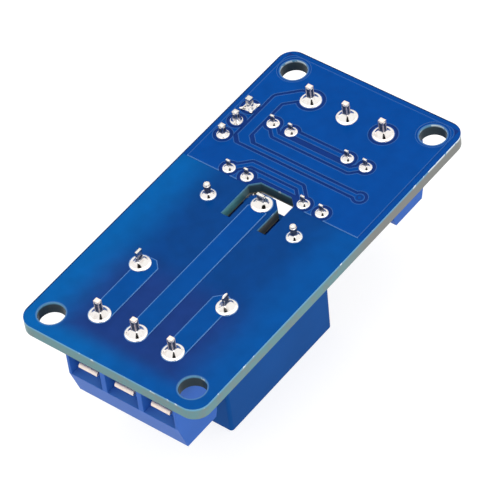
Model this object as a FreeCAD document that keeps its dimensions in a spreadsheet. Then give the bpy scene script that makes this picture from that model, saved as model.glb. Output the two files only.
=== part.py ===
import FreeCAD, Part
import math
import os
import re
import Sketcher
from FreeCAD import Placement, Rotation, Vector

# Relay module board, one channel with two optocouplers, lying with its solder side up.
# The origin is the centre of the board's outline at the level of the relay's flat top, on which the
# board stands. +X runs along the board towards the input terminals, +Z points up out of the solder side.
# All sizes are in millimetres, all angles in degrees.

# Driving sizes
SIZES = {
    # circuit board
    "board_length": 49.5,
    "board_width": 25.2,
    "board_thickness": 1.6,
    "board_corner": 2.0,
    "hole_spacing_long": 44.0,
    "hole_spacing_wide": 19.56,
    "mount_hole_radius": 1.6,
    "hole_clearance": 0.08,
    "via_radius": 0.3,
    "via_x": 9.79,
    "via_y": -8.5,
    # line on which the relay and both terminal blocks are centred
    "centre_line_y": 0.1,
    # isolation slot round the relay's common pin
    "slot_width": 1.25,
    "slot_half_width": 3.15,
    "slot_end_x": 5.85,
    "slot_start_x": -0.25,
    "slot_bevel": 1.0,
    # copper under the solder mask
    "copper_rise": 0.06,
    "copper_gap": 0.36,
    "pour_start_x": 4.75,
    "pour_inset": 0.7,
    "pour_hole_margin": 0.35,
    "pour_slot_margin": 0.45,
    "wide_track": 2.6,
    "wide_track_bevel": 0.9,
    "input_track": 1.31,
    "signal_track": 0.52,
    "link_track": 0.59,
    "elbow_bevel": 0.9,
    "input_track_y": 8.42,
    "input_track_start_x": 17.2,
    "link_track_x": 12.53,
    "output_link_x": 7.53,
    # solder joints
    "terminal_pad_radius": 1.36,
    "contact_pad_radius": 1.32,
    "coil_pad_radius": 0.97,
    "small_pad_radius": 0.81,
    "via_pad_radius": 0.6,
    "large_joint_height": 1.05,
    "small_joint_height": 0.65,
    "joint_neck": 0.16,
    # terminal blocks
    "input_pin_x": 19.1,
    "terminal_pitch": 5.08,
    "terminal_front": 3.75,
    "terminal_back": 2.65,
    "terminal_brow": 2.65,
    "terminal_height": 9.8,
    "terminal_brow_height": 6.0,
    "terminal_back_bevel": 0.3,
    "terminal_divider": 0.7,
    "terminal_floor": 0.9,
    "terminal_back_wall": 0.85,
    "window_depth": 1.2,
    "chamber_height": 5.6,
    "leg_slot_clearance": 0.1,
    "screw_offset": 0.15,
    "screw_well_radius": 2.0,
    "screw_well_clearance": 0.15,
    "screw_head_thickness": 1.0,
    "screw_recess": 0.15,
    "screw_shank_radius": 1.2,
    "screw_slot_width": 0.5,
    "screw_slot_depth": 0.55,
    "thread_clearance": 0.05,
    # contact frames and wire guards of the terminal blocks
    "frame_width": 2.6,
    "frame_sheet": 0.5,
    "frame_plate": 0.8,
    "frame_clearance": 0.1,
    "frame_reach": 2.35,
    "terminal_leg_width": 0.7,
    "terminal_leg_thickness": 0.6,
    "terminal_leg_reach": 2.3,
    "guard_sheet": 0.5,
    "guard_width": 2.6,
    "guard_reach": 3.38,
    "guard_nose": 0.4,
    "guard_clearance": 0.05,
    "guard_tail_clearance": 0.2,
    # relay case
    "relay_height": 15.0,
    "relay_length": 19.1,
    "relay_width": 15.4,
    "relay_draft_run": 0.3,
    "relay_corner": 0.4,
    "relay_rim": 0.2,
    "relay_wall": 0.7,
    "relay_roof": 0.8,
    "common_x": 3.19,
    "common_to_end": 1.05,
    "common_to_coil": 2.0,
    "contact_to_end": 3.85,
    "relay_to_terminal": 1.74,
    "relay_pin_spread": 12.0,
    "base_bottom": 0.3,
    "base_thickness": 1.6,
    "base_clearance": 0.1,
    # relay pins
    "relay_hole_clearance": 0.05,
    "common_width": 1.0,
    "common_thickness": 0.35,
    "common_rise": 2.6,
    "common_reach": 1.6,
    "blade_width": 0.85,
    "blade_thickness": 0.3,
    "open_blade_reach": 2.07,
    "closed_blade_reach": 1.47,
    "coil_pin_radius": 0.35,
    "coil_pin_reach": 1.8,
    # relay magnet and armature
    "yoke_sheet": 1.2,
    "yoke_width": 8.0,
    "yoke_height": 11.6,
    "yoke_foot_margin": 0.4,
    "core_radius": 2.2,
    "core_shank_radius": 1.5,
    "core_height": 11.2,
    "core_clearance": 0.05,
    "bobbin_gap": 0.1,
    "bobbin_to_contact": 2.325,
    "bobbin_flange": 0.8,
    "bobbin_tube_wall": 0.55,
    "bobbin_top_clearance": 0.15,
    "bobbin_ear_margin": 0.6,
    "winding_inset": 0.2,
    "winding_clearance": 0.03,
    "armature_thickness": 1.0,
    "armature_width": 7.8,
    "armature_gap": 0.1,
    "armature_overhang": 0.25,
    "armature_setback": 0.1,
    "armature_angle": 3.4,
    "hinge_setback": 0.4,
    # relay contacts
    "spring_sheet": 0.15,
    "spring_width": 4.0,
    "spring_tail": 1.7,
    "spring_tail_clearance": 0.05,
    "spring_overhang": 1.2,
    "contact_radius": 1.0,
    "contact_head": 0.4,
    "contact_shank_radius": 0.5,
    "contact_clearance": 0.02,
    "fixed_contact_radius": 0.9,
    "fixed_contact_thickness": 0.38,
    "contact_arm_thickness": 0.35,
    "contact_stop_clearance": 0.04,
    # trigger header and its jumper
    "header_x": 12.06,
    "header_y": 10.45,
    "header_pitch": 2.54,
    "header_strip_width": 2.5,
    "header_strip_height": 2.5,
    "header_pin_side": 0.64,
    "header_pin_height": 8.1,
    "header_pin_reach": 1.5,
    "jumper_length": 4.9,
    "jumper_width": 2.4,
    "jumper_height": 6.5,
    "jumper_wall": 0.45,
    "jumper_roof": 0.6,
    "jumper_seat_gap": 0.1,
    "clip_sheet": 0.15,
    "clip_length": 3.6,
    "clip_pin_clearance": 0.04,
    "clip_setback": 0.7,
    "clip_roof_clearance": 0.05,
    # optocouplers
    "optocoupler_x": 9.77,
    "optocoupler_1_y": 5.35,
    "optocoupler_2_y": -5.07,
    "optocoupler_pitch": 2.54,
    "optocoupler_row": 8.2,
    "optocoupler_length": 6.5,
    "optocoupler_width": 4.6,
    "optocoupler_height": 3.4,
    "optocoupler_standoff": 0.6,
    "optocoupler_bevel": 0.35,
    "dimple_radius": 0.45,
    "dimple_depth": 0.1,
    "dimple_inset": 1.0,
    "lead_sheet": 0.25,
    "lead_width": 0.5,
    "lead_shoulder_width": 1.2,
    "lead_shoulder_height": 0.5,
    "lead_level": 2.3,
    "lead_reach": 1.35,
    # surface-mounted parts of the component side
    "land_thickness": 0.1,
    "land_margin": 0.5,
    "chip_length": 2.0,
    "chip_width": 1.25,
    "chip_thickness": 0.5,
    "chip_land": 0.9,
    "chip_fillet": 0.3,
    "chip_row_x": 6.2,
    "chip_outer_y": 10.3,
    "chip_inner_y": 8.75,
    "led_lens_length": 1.2,
    "led_lens_thickness": 0.4,
    "power_led_x": 14.5,
    "switch_led_x": 11.0,
    "led_y": -10.3,
    "diode_x": 9.0,
    "diode_length": 4.3,
    "diode_width": 2.6,
    "diode_thickness": 2.0,
    "diode_lead_width": 1.5,
    "diode_bevel": 0.3,
    "transistor_x": 12.9,
    "transistor_length": 2.9,
    "transistor_width": 1.3,
    "transistor_thickness": 0.95,
    "transistor_pitch": 1.9,
    "transistor_lead_width": 0.4,
    "transistor_lead_length": 0.55,
    "transistor_lead_sheet": 0.15,
}

# Places worked out from the driving sizes
PLACES = {
    "component_z": "relay_height",
    "solder_z": "component_z + board_thickness",
    "joint_z": "solder_z + copper_rise",
    "terminal_hole_radius": "sqrt(terminal_leg_width ^ 2 + terminal_leg_thickness ^ 2) / 2 + hole_clearance",
    "common_hole_radius": "sqrt(common_width ^ 2 + common_thickness ^ 2) / 2 + hole_clearance",
    "blade_hole_radius": "sqrt(blade_width ^ 2 + blade_thickness ^ 2) / 2 + hole_clearance",
    "coil_hole_radius": "coil_pin_radius + hole_clearance",
    "lead_hole_radius": "sqrt(lead_width ^ 2 + lead_sheet ^ 2) / 2 + hole_clearance",
    "header_hole_radius": "header_pin_side / sqrt(2) + hole_clearance",
    "frame_top": "chamber_height - frame_clearance",
    "frame_underside": "frame_top - frame_plate",
    "frame_back": "frame_clearance + terminal_back_wall - terminal_back",
    "guard_top": "frame_underside - guard_clearance",
    "screw_seat": "terminal_height - screw_recess - screw_head_thickness",
    "relay_end_x": "common_x + common_to_end - relay_length",
    "output_pin_x": "relay_to_terminal + terminal_back - relay_end_x",
    "coil_x": "common_x - common_to_coil",
    "contact_x": "relay_end_x + contact_to_end",
    "contact_reach_x": "common_x - contact_x",
    "draft_angle": "atan(relay_draft_run / relay_height)",
    "base_top": "base_bottom + base_thickness",
    "yoke_face": "common_thickness / 2",
    "yoke_inner_face": "yoke_face + yoke_sheet",
    "bobbin_start": "yoke_inner_face + bobbin_gap",
    "bobbin_end": "contact_reach_x - contact_radius - bobbin_to_contact",
    "bobbin_half": "(bobbin_end - bobbin_start) / 2",
    "winding_radius": "bobbin_half - winding_inset",
    "coil_axis": "bobbin_start + bobbin_half",
    "bobbin_bottom": "base_top + yoke_sheet",
    "bobbin_top": "core_height - bobbin_top_clearance",
    "bobbin_bore": "core_radius + core_clearance",
    "bobbin_tube_radius": "bobbin_bore + bobbin_tube_wall",
    "armature_bottom": "yoke_height + armature_gap",
    "armature_top": "armature_bottom + armature_thickness",
    "armature_start": "yoke_face + armature_setback",
    "armature_end": "coil_axis + core_radius + armature_overhang",
    "hinge_reach": "yoke_face + hinge_setback",
    "hinge_height": "yoke_height + armature_gap / 2",
    "spring_top": "armature_top + spring_sheet",
    "rivet_bottom": "armature_top - contact_head",
    "rivet_top": "spring_top + contact_head",
    "rivet_edge": "contact_reach_x + contact_radius - hinge_reach",
    "rivet_drop": "rivet_edge * sin(armature_angle) + (hinge_height - rivet_bottom) * cos(armature_angle)",
    "open_contact_top": "hinge_height - rivet_drop - contact_stop_clearance",
    "closed_contact_bottom": "rivet_top + contact_clearance",
    "jumper_x": "header_x - header_pitch / 2",
    "jumper_bottom": "header_strip_height + jumper_seat_gap",
    "jumper_top": "jumper_bottom + jumper_height",
    "lead_x": "optocoupler_row / 2",
}

# Profile of a solder joint: shares of its height and of its width from the pin to the pad's rim
JOINT_STEPS = ((0, 1), (0.28, 0.8), (0.46, 0.2), (1, 0))
# Space within which an edge counts as lying on a face
EDGE_MARGIN = 0.01

POLES = (-1, 0, 1)
SIDES = (-1, 1)
UPRIGHT = Rotation()
TURNED_ABOUT_X = Rotation(Vector(1, 0, 0), 180)
TURNED_ABOUT_Y = Rotation(Vector(0, 1, 0), 180)

DOC = FreeCAD.newDocument("relay_module_board")
SHEET = DOC.addObject("Spreadsheet::Sheet", "sizes")
DERIVED = DOC.addObject("App::FeaturePython", "places")
NODES = []


# Expressions

def formula(text):
    """Returns the expression with each named size led by the object that holds it."""

    def with_owner(match):
        name = match.group(0)
        if name in SIZES:
            return SHEET.Name + "." + name
        if name in PLACES:
            return DERIVED.Name + "." + name
        return name

    return re.sub(r"[a-z_][a-z0-9_]*", with_owner, str(text))


def bind(thing, **formulas):
    """Binds each named property of the thing to its formula."""
    for prop, text in formulas.items():
        thing.setExpression(prop, formula(text))


def seat(thing, x, y, z, rotation=UPRIGHT):
    """Places the thing by three formulas, with a fixed turn."""
    thing.Placement = Placement(Vector(), rotation)
    for axis, text in zip("xyz", (x, y, z)):
        thing.setExpression("Placement.Base." + axis, formula(text))
    return thing


def amount(name):
    """Returns the present value of a driving size or of a place."""
    owner = SHEET if name in SIZES else DERIVED
    return float(getattr(owner, name))


def fill_sheet():
    """Writes the driving sizes into the sheet and the places next to it."""
    for row, (name, value) in enumerate(SIZES.items(), start=1):
        SHEET.set(f"A{row}", name)
        SHEET.set(f"B{row}", str(value))
        SHEET.setAlias(f"B{row}", name)
    DOC.recompute()
    for name in PLACES:
        DERIVED.addProperty("App::PropertyFloat", name, "places")
    for name, text in PLACES.items():
        DERIVED.setExpression(name, formula(text))
    DOC.recompute()


def node(thing, label):
    """Marks the thing as a sub-part of the board, kept under its own label."""
    thing.Label = label
    NODES.append(thing)
    return thing


# Primitive solids and booleans

def block(name, low, size):
    """A box with its lowest corner and its three sizes."""
    box = DOC.addObject("Part::Box", name)
    bind(box, Length=size[0], Width=size[1], Height=size[2])
    return seat(box, *low)


def rod(name, foot, radius, height):
    """An upright cylinder."""
    cylinder = DOC.addObject("Part::Cylinder", name)
    bind(cylinder, Radius=radius, Height=height)
    return seat(cylinder, *foot)


def taper(name, foot, radius_low, radius_high, height):
    """An upright cone without its point."""
    cone = DOC.addObject("Part::Cone", name)
    bind(cone, Radius1=radius_low, Radius2=radius_high, Height=height)
    return seat(cone, *foot)


def join(name, *pieces):
    """One solid from several that meet."""
    fuse = DOC.addObject("Part::MultiFuse", name)
    fuse.Shapes = list(pieces)
    fuse.Refine = True
    return fuse


def group(name, pieces):
    """Separate solids kept together."""
    compound = DOC.addObject("Part::Compound", name)
    compound.Links = list(pieces)
    return compound


def cut(name, base, *tools):
    """The base without the tools."""
    result = DOC.addObject("Part::Cut", name)
    result.Base = base
    result.Tool = tools[0] if len(tools) == 1 else join(name + "_tools", *tools)
    return result


# Sketched bodies

def new_body(name):
    """An empty body."""
    return DOC.addObject("PartDesign::Body", name)


def sketch(body, name, plane, loops, level=0):
    """Draws closed loops on one of the body's origin planes, moved by level along its normal.

    A loop is a list of corner points, or a circle as ("circle", x, y, radius).
    """
    drawing = body.newObject("Sketcher::SketchObject", name)
    support = [feature for feature in body.Origin.OriginFeatures if feature.Role == plane][0]
    drawing.AttachmentSupport = [(support, "")]
    drawing.MapMode = "FlatFace"
    drawing.setExpression("AttachmentOffset.Base.z", formula(level))
    for number, loop in enumerate(loops):
        if loop[0] == "circle":
            draw_circle(drawing, number, *loop[1:])
        else:
            draw_polygon(drawing, number, loop)
    return drawing


def fix(drawing, constraint, text):
    """Adds a constraint whose value is a formula."""
    index = drawing.addConstraint(constraint)
    drawing.setExpression(f"Constraints[{index}]", formula(text))


def draw_circle(drawing, number, x, y, radius):
    """A circle whose centre and radius are formulas."""
    start = Vector(number, number, 0)
    curve = drawing.addGeometry(Part.Circle(start, Vector(0, 0, 1), 1))
    fix(drawing, Sketcher.Constraint("DistanceX", curve, 3, start.x), x)
    fix(drawing, Sketcher.Constraint("DistanceY", curve, 3, start.y), y)
    fix(drawing, Sketcher.Constraint("Radius", curve, 1), radius)


def draw_polygon(drawing, number, corners):
    """A closed outline whose corners are formulas."""
    count = len(corners)
    step = 2 * math.pi / count
    starts = [Vector(number + math.cos(k * step), math.sin(k * step), 0) for k in range(count)]
    lines = []
    for k in range(count):
        lines.append(drawing.addGeometry(Part.LineSegment(starts[k], starts[(k + 1) % count])))
    for k in range(count):
        drawing.addConstraint(Sketcher.Constraint("Coincident", lines[k], 2, lines[(k + 1) % count], 1))
    for line, start, (x, y) in zip(lines, starts, corners):
        fix(drawing, Sketcher.Constraint("DistanceX", line, 1, start.x), x)
        fix(drawing, Sketcher.Constraint("DistanceY", line, 1, start.y), y)


def rectangle(x_low, y_low, x_high, y_high):
    """The corners of a rectangle."""
    return [(x_low, y_low), (x_high, y_low), (x_high, y_high), (x_low, y_high)]


def pad(body, name, drawing, length, symmetric=False, taper_angle=None):
    """Raises the drawing into a solid."""
    feature = body.newObject("PartDesign::Pad", name)
    feature.Profile = drawing
    bind(feature, Length=length)
    if symmetric:
        feature.SideType = "Symmetric"
    if taper_angle is not None:
        bind(feature, TaperAngle=taper_angle)
    DOC.recompute()
    return feature


def pocket(body, name, drawing, depth=None, upward=False, taper_angle=None):
    """Cuts the drawing out of the solid, to a depth or right through."""
    before = body.Shape.Volume
    feature = body.newObject("PartDesign::Pocket", name)
    feature.Profile = drawing
    feature.Reversed = upward
    if depth is None:
        feature.Type = "ThroughAll"
        feature.SideType = "Symmetric"
    else:
        bind(feature, Length=depth)
    if taper_angle is not None:
        bind(feature, TaperAngle=taper_angle)
    DOC.recompute()
    if body.Shape.Volume >= before:
        raise RuntimeError(name + " cuts nothing")
    return feature


def round_edges(body, name, chosen, radius):
    """Rounds the edges of the solid that the chosen function picks."""
    tip = body.Tip
    edges = [f"Edge{k}" for k, edge in enumerate(tip.Shape.Edges, start=1) if chosen(edge)]
    feature = body.newObject("PartDesign::Fillet", name)
    feature.Base = (tip, edges)
    bind(feature, Radius=radius)
    DOC.recompute()
    return feature


def extent(edge):
    """The size of the edge's box along X, Y and Z."""
    box = edge.BoundBox
    return box.XLength, box.YLength, box.ZLength


# Pins and joints of the solder side

def pole_y(pole):
    """The place of a terminal pole across the board."""
    return f"centre_line_y + {pole} * terminal_pitch"


def spread_y(side):
    """The place of the relay's outer pins across the board."""
    return f"centre_line_y + {side} * relay_pin_spread / 2"


def optocoupler_pins(centre_y):
    """The four pin places of one optocoupler."""
    return [(f"optocoupler_x + {end} * lead_x", f"{centre_y} + {side} * optocoupler_pitch / 2")
            for end in SIDES for side in SIDES]


TERMINAL_PINS = [(x, pole_y(pole)) for x in ("-output_pin_x", "input_pin_x") for pole in POLES]
POUR_PIN = ("input_pin_x", pole_y(0))
VIA = ("via_x", "via_y")
COMMON_PIN = ("common_x", "centre_line_y")
COIL_PINS = [("coil_x", spread_y(side)) for side in SIDES]
CONTACT_PINS = [("contact_x", spread_y(side)) for side in SIDES]
LEAD_PINS = optocoupler_pins("optocoupler_1_y") + optocoupler_pins("optocoupler_2_y")
HEADER_PINS = [(f"header_x + {pole} * header_pitch", "header_y") for pole in POLES]

# Each kind of through pin: its places, the radius of its board hole and of its pad
THROUGH_PINS = [
    (TERMINAL_PINS, "terminal_hole_radius", "terminal_pad_radius"),
    ([COMMON_PIN], "common_hole_radius", "contact_pad_radius"),
    (COIL_PINS, "coil_hole_radius", "coil_pad_radius"),
    (CONTACT_PINS, "blade_hole_radius", "contact_pad_radius"),
    (LEAD_PINS, "lead_hole_radius", "small_pad_radius"),
    (HEADER_PINS, "header_hole_radius", "small_pad_radius"),
    ([VIA], "via_radius", "via_pad_radius"),
]


def slot_outline():
    """The U-shaped isolation slot."""
    outer_y = "slot_half_width"
    inner_y = "(slot_half_width - slot_width)"
    outer_x = "slot_end_x"
    inner_x = "(slot_end_x - slot_width)"
    start_x = "slot_start_x"
    middle = "centre_line_y"
    return [
        (start_x, f"{middle} - {outer_y}"),
        (f"{outer_x} - slot_bevel", f"{middle} - {outer_y}"),
        (outer_x, f"{middle} - {outer_y} + slot_bevel"),
        (outer_x, f"{middle} + {outer_y} - slot_bevel"),
        (f"{outer_x} - slot_bevel", f"{middle} + {outer_y}"),
        (start_x, f"{middle} + {outer_y}"),
        (start_x, f"{middle} + {inner_y}"),
        (f"{inner_x} - slot_bevel", f"{middle} + {inner_y}"),
        (inner_x, f"{middle} + {inner_y} - slot_bevel"),
        (inner_x, f"{middle} - {inner_y} + slot_bevel"),
        (f"{inner_x} - slot_bevel", f"{middle} - {inner_y}"),
        (start_x, f"{middle} - {inner_y}"),
    ]


# Circuit board and its copper

def circuit_board():
    """The board with its mounting holes, pin holes, via and isolation slot."""
    body = new_body("circuit_board_body")
    outline = rectangle("-board_length / 2", "-board_width / 2", "board_length / 2", "board_width / 2")
    pad(body, "board_pad", sketch(body, "board_outline", "XY_Plane", [outline]), "board_thickness")
    round_edges(body, "board_corners", lambda edge: extent(edge)[0] + extent(edge)[1] < 1e-6, "board_corner")
    holes = [("circle", f"{i} * hole_spacing_long / 2", f"{j} * hole_spacing_wide / 2", "mount_hole_radius")
             for i in SIDES for j in SIDES]
    for places, hole_radius, _ in THROUGH_PINS:
        holes += [("circle", x, y, hole_radius) for x, y in places]
    pocket(body, "board_holes", sketch(body, "hole_circles", "XY_Plane", holes))
    pocket(body, "board_slot", sketch(body, "slot_lines", "XY_Plane", [slot_outline()]))
    seat(body, 0, 0, "component_z")
    return node(body, "circuit_board")


def point(x, y):
    """A point of the copper layer from two numbers."""
    return Vector(x, y, 0)


def copper_sheet(corners):
    """A flat piece of copper with the given outline."""
    return Part.Face(Part.makePolygon(corners + corners[:1])).extrude(Vector(0, 0, amount("copper_rise")))


def copper_strip(low_x, low_y, high_x, high_y):
    """A rectangular piece of copper between two corners."""
    return copper_sheet([point(low_x, low_y), point(high_x, low_y), point(high_x, high_y),
                         point(low_x, high_y)])


def copper_disc(centre, radius):
    """A round piece of copper."""
    return Part.makeCylinder(radius, amount("copper_rise"), centre)


def ribbon(route, width):
    """A track of even width with round corners along a route of points."""
    rise = amount("copper_rise")
    pieces = [copper_disc(route[0], width / 2)]
    for start, end in zip(route, route[1:]):
        run = end - start
        strip = Part.makeBox(run.Length, width, rise, Vector(0, -width / 2, 0))
        strip.Placement = Placement(start, Rotation(Vector(1, 0, 0), run))
        pieces += [strip, copper_disc(end, width / 2)]
    return pieces[0].multiFuse(pieces[1:])


def contact_track(start_x, end_x, y):
    """A wide contact track from a terminal pad, with its far corners cut off."""
    half = amount("wide_track") / 2
    bevel = amount("wide_track_bevel")
    return copper_sheet([
        point(start_x, y - half),
        point(end_x - bevel, y - half),
        point(end_x, y - half + bevel),
        point(end_x, y + half - bevel),
        point(end_x - bevel, y + half),
        point(start_x, y + half),
    ])


def signal_routes():
    """The thin tracks of the input half, each a route and a width."""
    line_y = amount("centre_line_y")
    input_x = amount("input_pin_x")
    input_y = line_y + amount("terminal_pitch")
    track_y = amount("input_track_y")
    turn_x = amount("input_track_start_x")
    via = point(amount("via_x"), amount("via_y"))
    elbow_x = via.x + amount("signal_track") / 2 + amount("elbow_bevel")
    elbow_y = track_y - amount("input_track") / 2 - amount("elbow_bevel")
    near_x = amount("optocoupler_x") - amount("lead_x")
    far_x = amount("optocoupler_x") + amount("lead_x")
    half_pitch = amount("optocoupler_pitch") / 2
    first_y = amount("optocoupler_1_y")
    second_y = amount("optocoupler_2_y")
    link_x = amount("link_track_x")
    bend = far_x - link_x
    output_x = amount("output_link_x")
    output_bend = output_x - near_x
    wide = [point(input_x, input_y), point(input_x, track_y - input_x + turn_x),
            point(turn_x, track_y), point(elbow_x + amount("input_track") / 2, track_y)]
    thin = [point(via.x, elbow_y), via]
    crossed = [point(far_x, first_y + half_pitch), point(link_x, first_y + half_pitch - bend),
               point(link_x, second_y - half_pitch + bend), point(far_x, second_y - half_pitch)]
    straight = [point(far_x, first_y - half_pitch), point(far_x, second_y + half_pitch)]
    output = [point(near_x, first_y + half_pitch), point(output_x, first_y + half_pitch - output_bend),
              point(output_x, second_y + half_pitch + output_bend), point(near_x, second_y + half_pitch)]
    return [
        (wide, amount("input_track")),
        (thin, amount("signal_track")),
        (crossed, amount("link_track")),
        (straight, amount("link_track")),
        (output, amount("link_track")),
    ]


def track_elbow(margin):
    """The bevelled corner where the wide input track turns into the thin one, grown by a margin."""
    bevel = amount("elbow_bevel")
    left = amount("via_x") - amount("signal_track") / 2 - margin
    right = amount("via_x") + amount("signal_track") / 2 + margin
    top = amount("input_track_y") + amount("input_track") / 2 + margin
    bottom = amount("input_track_y") - amount("input_track") / 2 - margin
    return copper_sheet([
        point(left, bottom - bevel),
        point(left, top - bevel),
        point(left + bevel, top),
        point(right + bevel + amount("input_track"), top),
        point(right + bevel + amount("input_track"), bottom),
        point(right + bevel, bottom),
        point(right, bottom - bevel),
    ])


def copper_pour():
    """The copper area of the input half, cleared round the tracks, pads, slot and mounting holes."""
    inset = amount("pour_inset")
    gap = amount("copper_gap")
    corner = amount("board_corner") - inset
    low_x = amount("pour_start_x")
    high_x = amount("board_length") / 2 - inset
    high_y = amount("board_width") / 2 - inset
    pour = copper_strip(low_x, corner - high_y, high_x, high_y - corner)
    pour = pour.fuse(copper_strip(low_x, -high_y, high_x - corner, high_y))
    cleared = [ribbon(route, width + 2 * gap) for route, width in signal_routes()]
    cleared += [track_elbow(gap), link_clearance()]
    clear_radius = amount("mount_hole_radius") + amount("pour_hole_margin")
    for i in SIDES:
        pour = pour.fuse(copper_disc(point(high_x - corner, i * (high_y - corner)), corner))
        centre = point(amount("hole_spacing_long") / 2, i * amount("hole_spacing_wide") / 2)
        cleared.append(copper_disc(centre, clear_radius))
    for drill in copper_pads():
        if not drill["joins_pour"]:
            cleared.append(copper_disc(drill["centre"], drill["pad"] + gap))
    cleared.append(slot_clearance())
    return pour.cut(cleared)


def link_clearance():
    """The bare area between the two tracks that link the optocouplers' inputs."""
    far_x = amount("optocoupler_x") + amount("lead_x")
    low_y = amount("optocoupler_2_y") + amount("optocoupler_pitch") / 2
    high_y = amount("optocoupler_1_y") - amount("optocoupler_pitch") / 2
    return copper_strip(amount("link_track_x"), low_y, far_x, high_y)


def slot_clearance():
    """The area round the isolation slot, inside of which no pour lies."""
    margin = amount("pour_slot_margin")
    half = amount("slot_half_width") + margin
    end_x = amount("slot_end_x") + margin
    bevel = amount("slot_bevel")
    line_y = amount("centre_line_y")
    return copper_sheet([
        point(0, line_y - half),
        point(end_x - bevel, line_y - half),
        point(end_x, line_y - half + bevel),
        point(end_x, line_y + half - bevel),
        point(end_x - bevel, line_y + half),
        point(0, line_y + half),
    ])


def copper_pads():
    """The centre and radii of every pad, whether it joins the pour, and whether its hole is open."""
    holes = [curve for curve in DOC.getObject("hole_circles").Geometry if isinstance(curve, Part.Circle)]
    pads = []
    first = len(SIDES) ** 2
    for places, hole_name, pad_name in THROUGH_PINS:
        for place, circle in zip(places, holes[first:]):
            pads.append({
                "centre": point(circle.Center.x, circle.Center.y),
                "hole": amount(hole_name),
                "pad": amount(pad_name),
                "joins_pour": place == POUR_PIN,
                "is_open": place != VIA,
            })
        first += len(places)
    return pads


def solder_side_copper():
    """All copper of the solder side, seen as raised areas under the solder mask."""
    line_y = amount("centre_line_y")
    pitch = amount("terminal_pitch")
    start_x = -amount("output_pin_x")
    pads = copper_pads()
    drills = [copper_disc(drill["centre"], drill["hole"]) for drill in pads if drill["is_open"]]
    discs = [copper_disc(drill["centre"], drill["pad"]) for drill in pads]
    contact_end = amount("contact_x") + amount("contact_pad_radius")
    tracks = [contact_track(start_x, contact_end, line_y + side * pitch) for side in SIDES]
    tracks.append(contact_track(start_x, amount("common_x"), line_y))
    tracks += [ribbon(route, width) for route, width in signal_routes()]
    tracks.append(track_elbow(0))
    copper = copper_pour().multiFuse(discs + tracks).cut(drills).removeSplitter()
    feature = DOC.addObject("Part::Feature", "solder_side_copper_shape")
    feature.Shape = copper
    feature.Placement = Placement(Vector(0, 0, amount("solder_z")), UPRIGHT)
    return node(feature, "solder_side_copper")


def joint_flare(name, place, pad_radius, height, neck):
    """The flared body of a solder joint, from the pad's rim up to the pin."""
    x, y = place
    rings = []
    for k, ((low, wide), (high, narrow)) in enumerate(zip(JOINT_STEPS, JOINT_STEPS[1:])):
        foot = (x, y, f"joint_z + {height} * {low}")
        radii = [f"{neck} + ({pad_radius} - ({neck})) * {share}" for share in (wide, narrow)]
        rings.append(taper(f"{name}_ring_{k}", foot, *radii, f"{height} * {high - low}"))
    return join(name + "_flare", *rings)


def solder_joint(name, place, pad_radius, height, pin_size):
    """A solder joint round a square-cut pin, open where the pin passes."""
    x, y = place
    along, across = pin_size
    flare = joint_flare(name, place, pad_radius, height, f"sqrt({along} ^ 2 + {across} ^ 2) / 2 + joint_neck")
    pin = block(name + "_pin", (f"{x} - {along} / 2", f"{y} - {across} / 2", "joint_z"),
                (along, across, height))
    return cut(name, flare, pin)


def round_joint(name, place, pad_radius, height, pin_radius):
    """A solder joint round a round pin."""
    flare = joint_flare(name, place, pad_radius, height, f"{pin_radius} + joint_neck")
    pin = rod(name + "_pin", (*place, "joint_z"), pin_radius, height)
    return cut(name, flare, pin)


def solder_joints():
    """The solder joints, one group for each kind of part."""
    leg = ("terminal_leg_thickness", "terminal_leg_width")
    blade = ("blade_width", "blade_thickness")
    common = ("common_thickness", "common_width")
    lead = ("lead_sheet", "lead_width")
    post = ("header_pin_side", "header_pin_side")
    large = "large_joint_height"
    small = "small_joint_height"
    terminal = [solder_joint(f"terminal_joint_{k}", place, "terminal_pad_radius", large, leg)
                for k, place in enumerate(TERMINAL_PINS)]
    relay = [solder_joint(f"contact_joint_{k}", place, "contact_pad_radius", large, blade)
             for k, place in enumerate(CONTACT_PINS)]
    relay.append(solder_joint("common_joint", COMMON_PIN, "contact_pad_radius", large, common))
    relay += [round_joint(f"coil_joint_{k}", place, "coil_pad_radius", large, "coil_pin_radius")
              for k, place in enumerate(COIL_PINS)]
    leads = [solder_joint(f"lead_joint_{k}", place, "small_pad_radius", small, lead)
             for k, place in enumerate(LEAD_PINS)]
    header = [solder_joint(f"header_joint_{k}", place, "small_pad_radius", small, post)
              for k, place in enumerate(HEADER_PINS)]
    node(group("terminal_joints", terminal), "terminal_solder")
    node(group("relay_joints", relay), "relay_solder")
    node(group("lead_joints", leads), "optocoupler_solder")
    node(group("header_joints", header), "header_solder")


# Terminal blocks. Each piece is drawn in the block's own frame: X from the pins towards the wire
# windows, Y across, Z away from the board, origin at the middle pin on the component side.

TERMINAL_ENDS = {
    "output": ("-output_pin_x", -1, TURNED_ABOUT_Y),
    "input": ("input_pin_x", 1, TURNED_ABOUT_X),
}


def seat_terminal(thing, end, along=0, pole=0):
    """Places a terminal piece at its end of the board."""
    pin_x, direction, rotation = TERMINAL_ENDS[end]
    return seat(thing, f"{pin_x} + {direction} * ({along})", pole_y(pole), "component_z", rotation)


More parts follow.
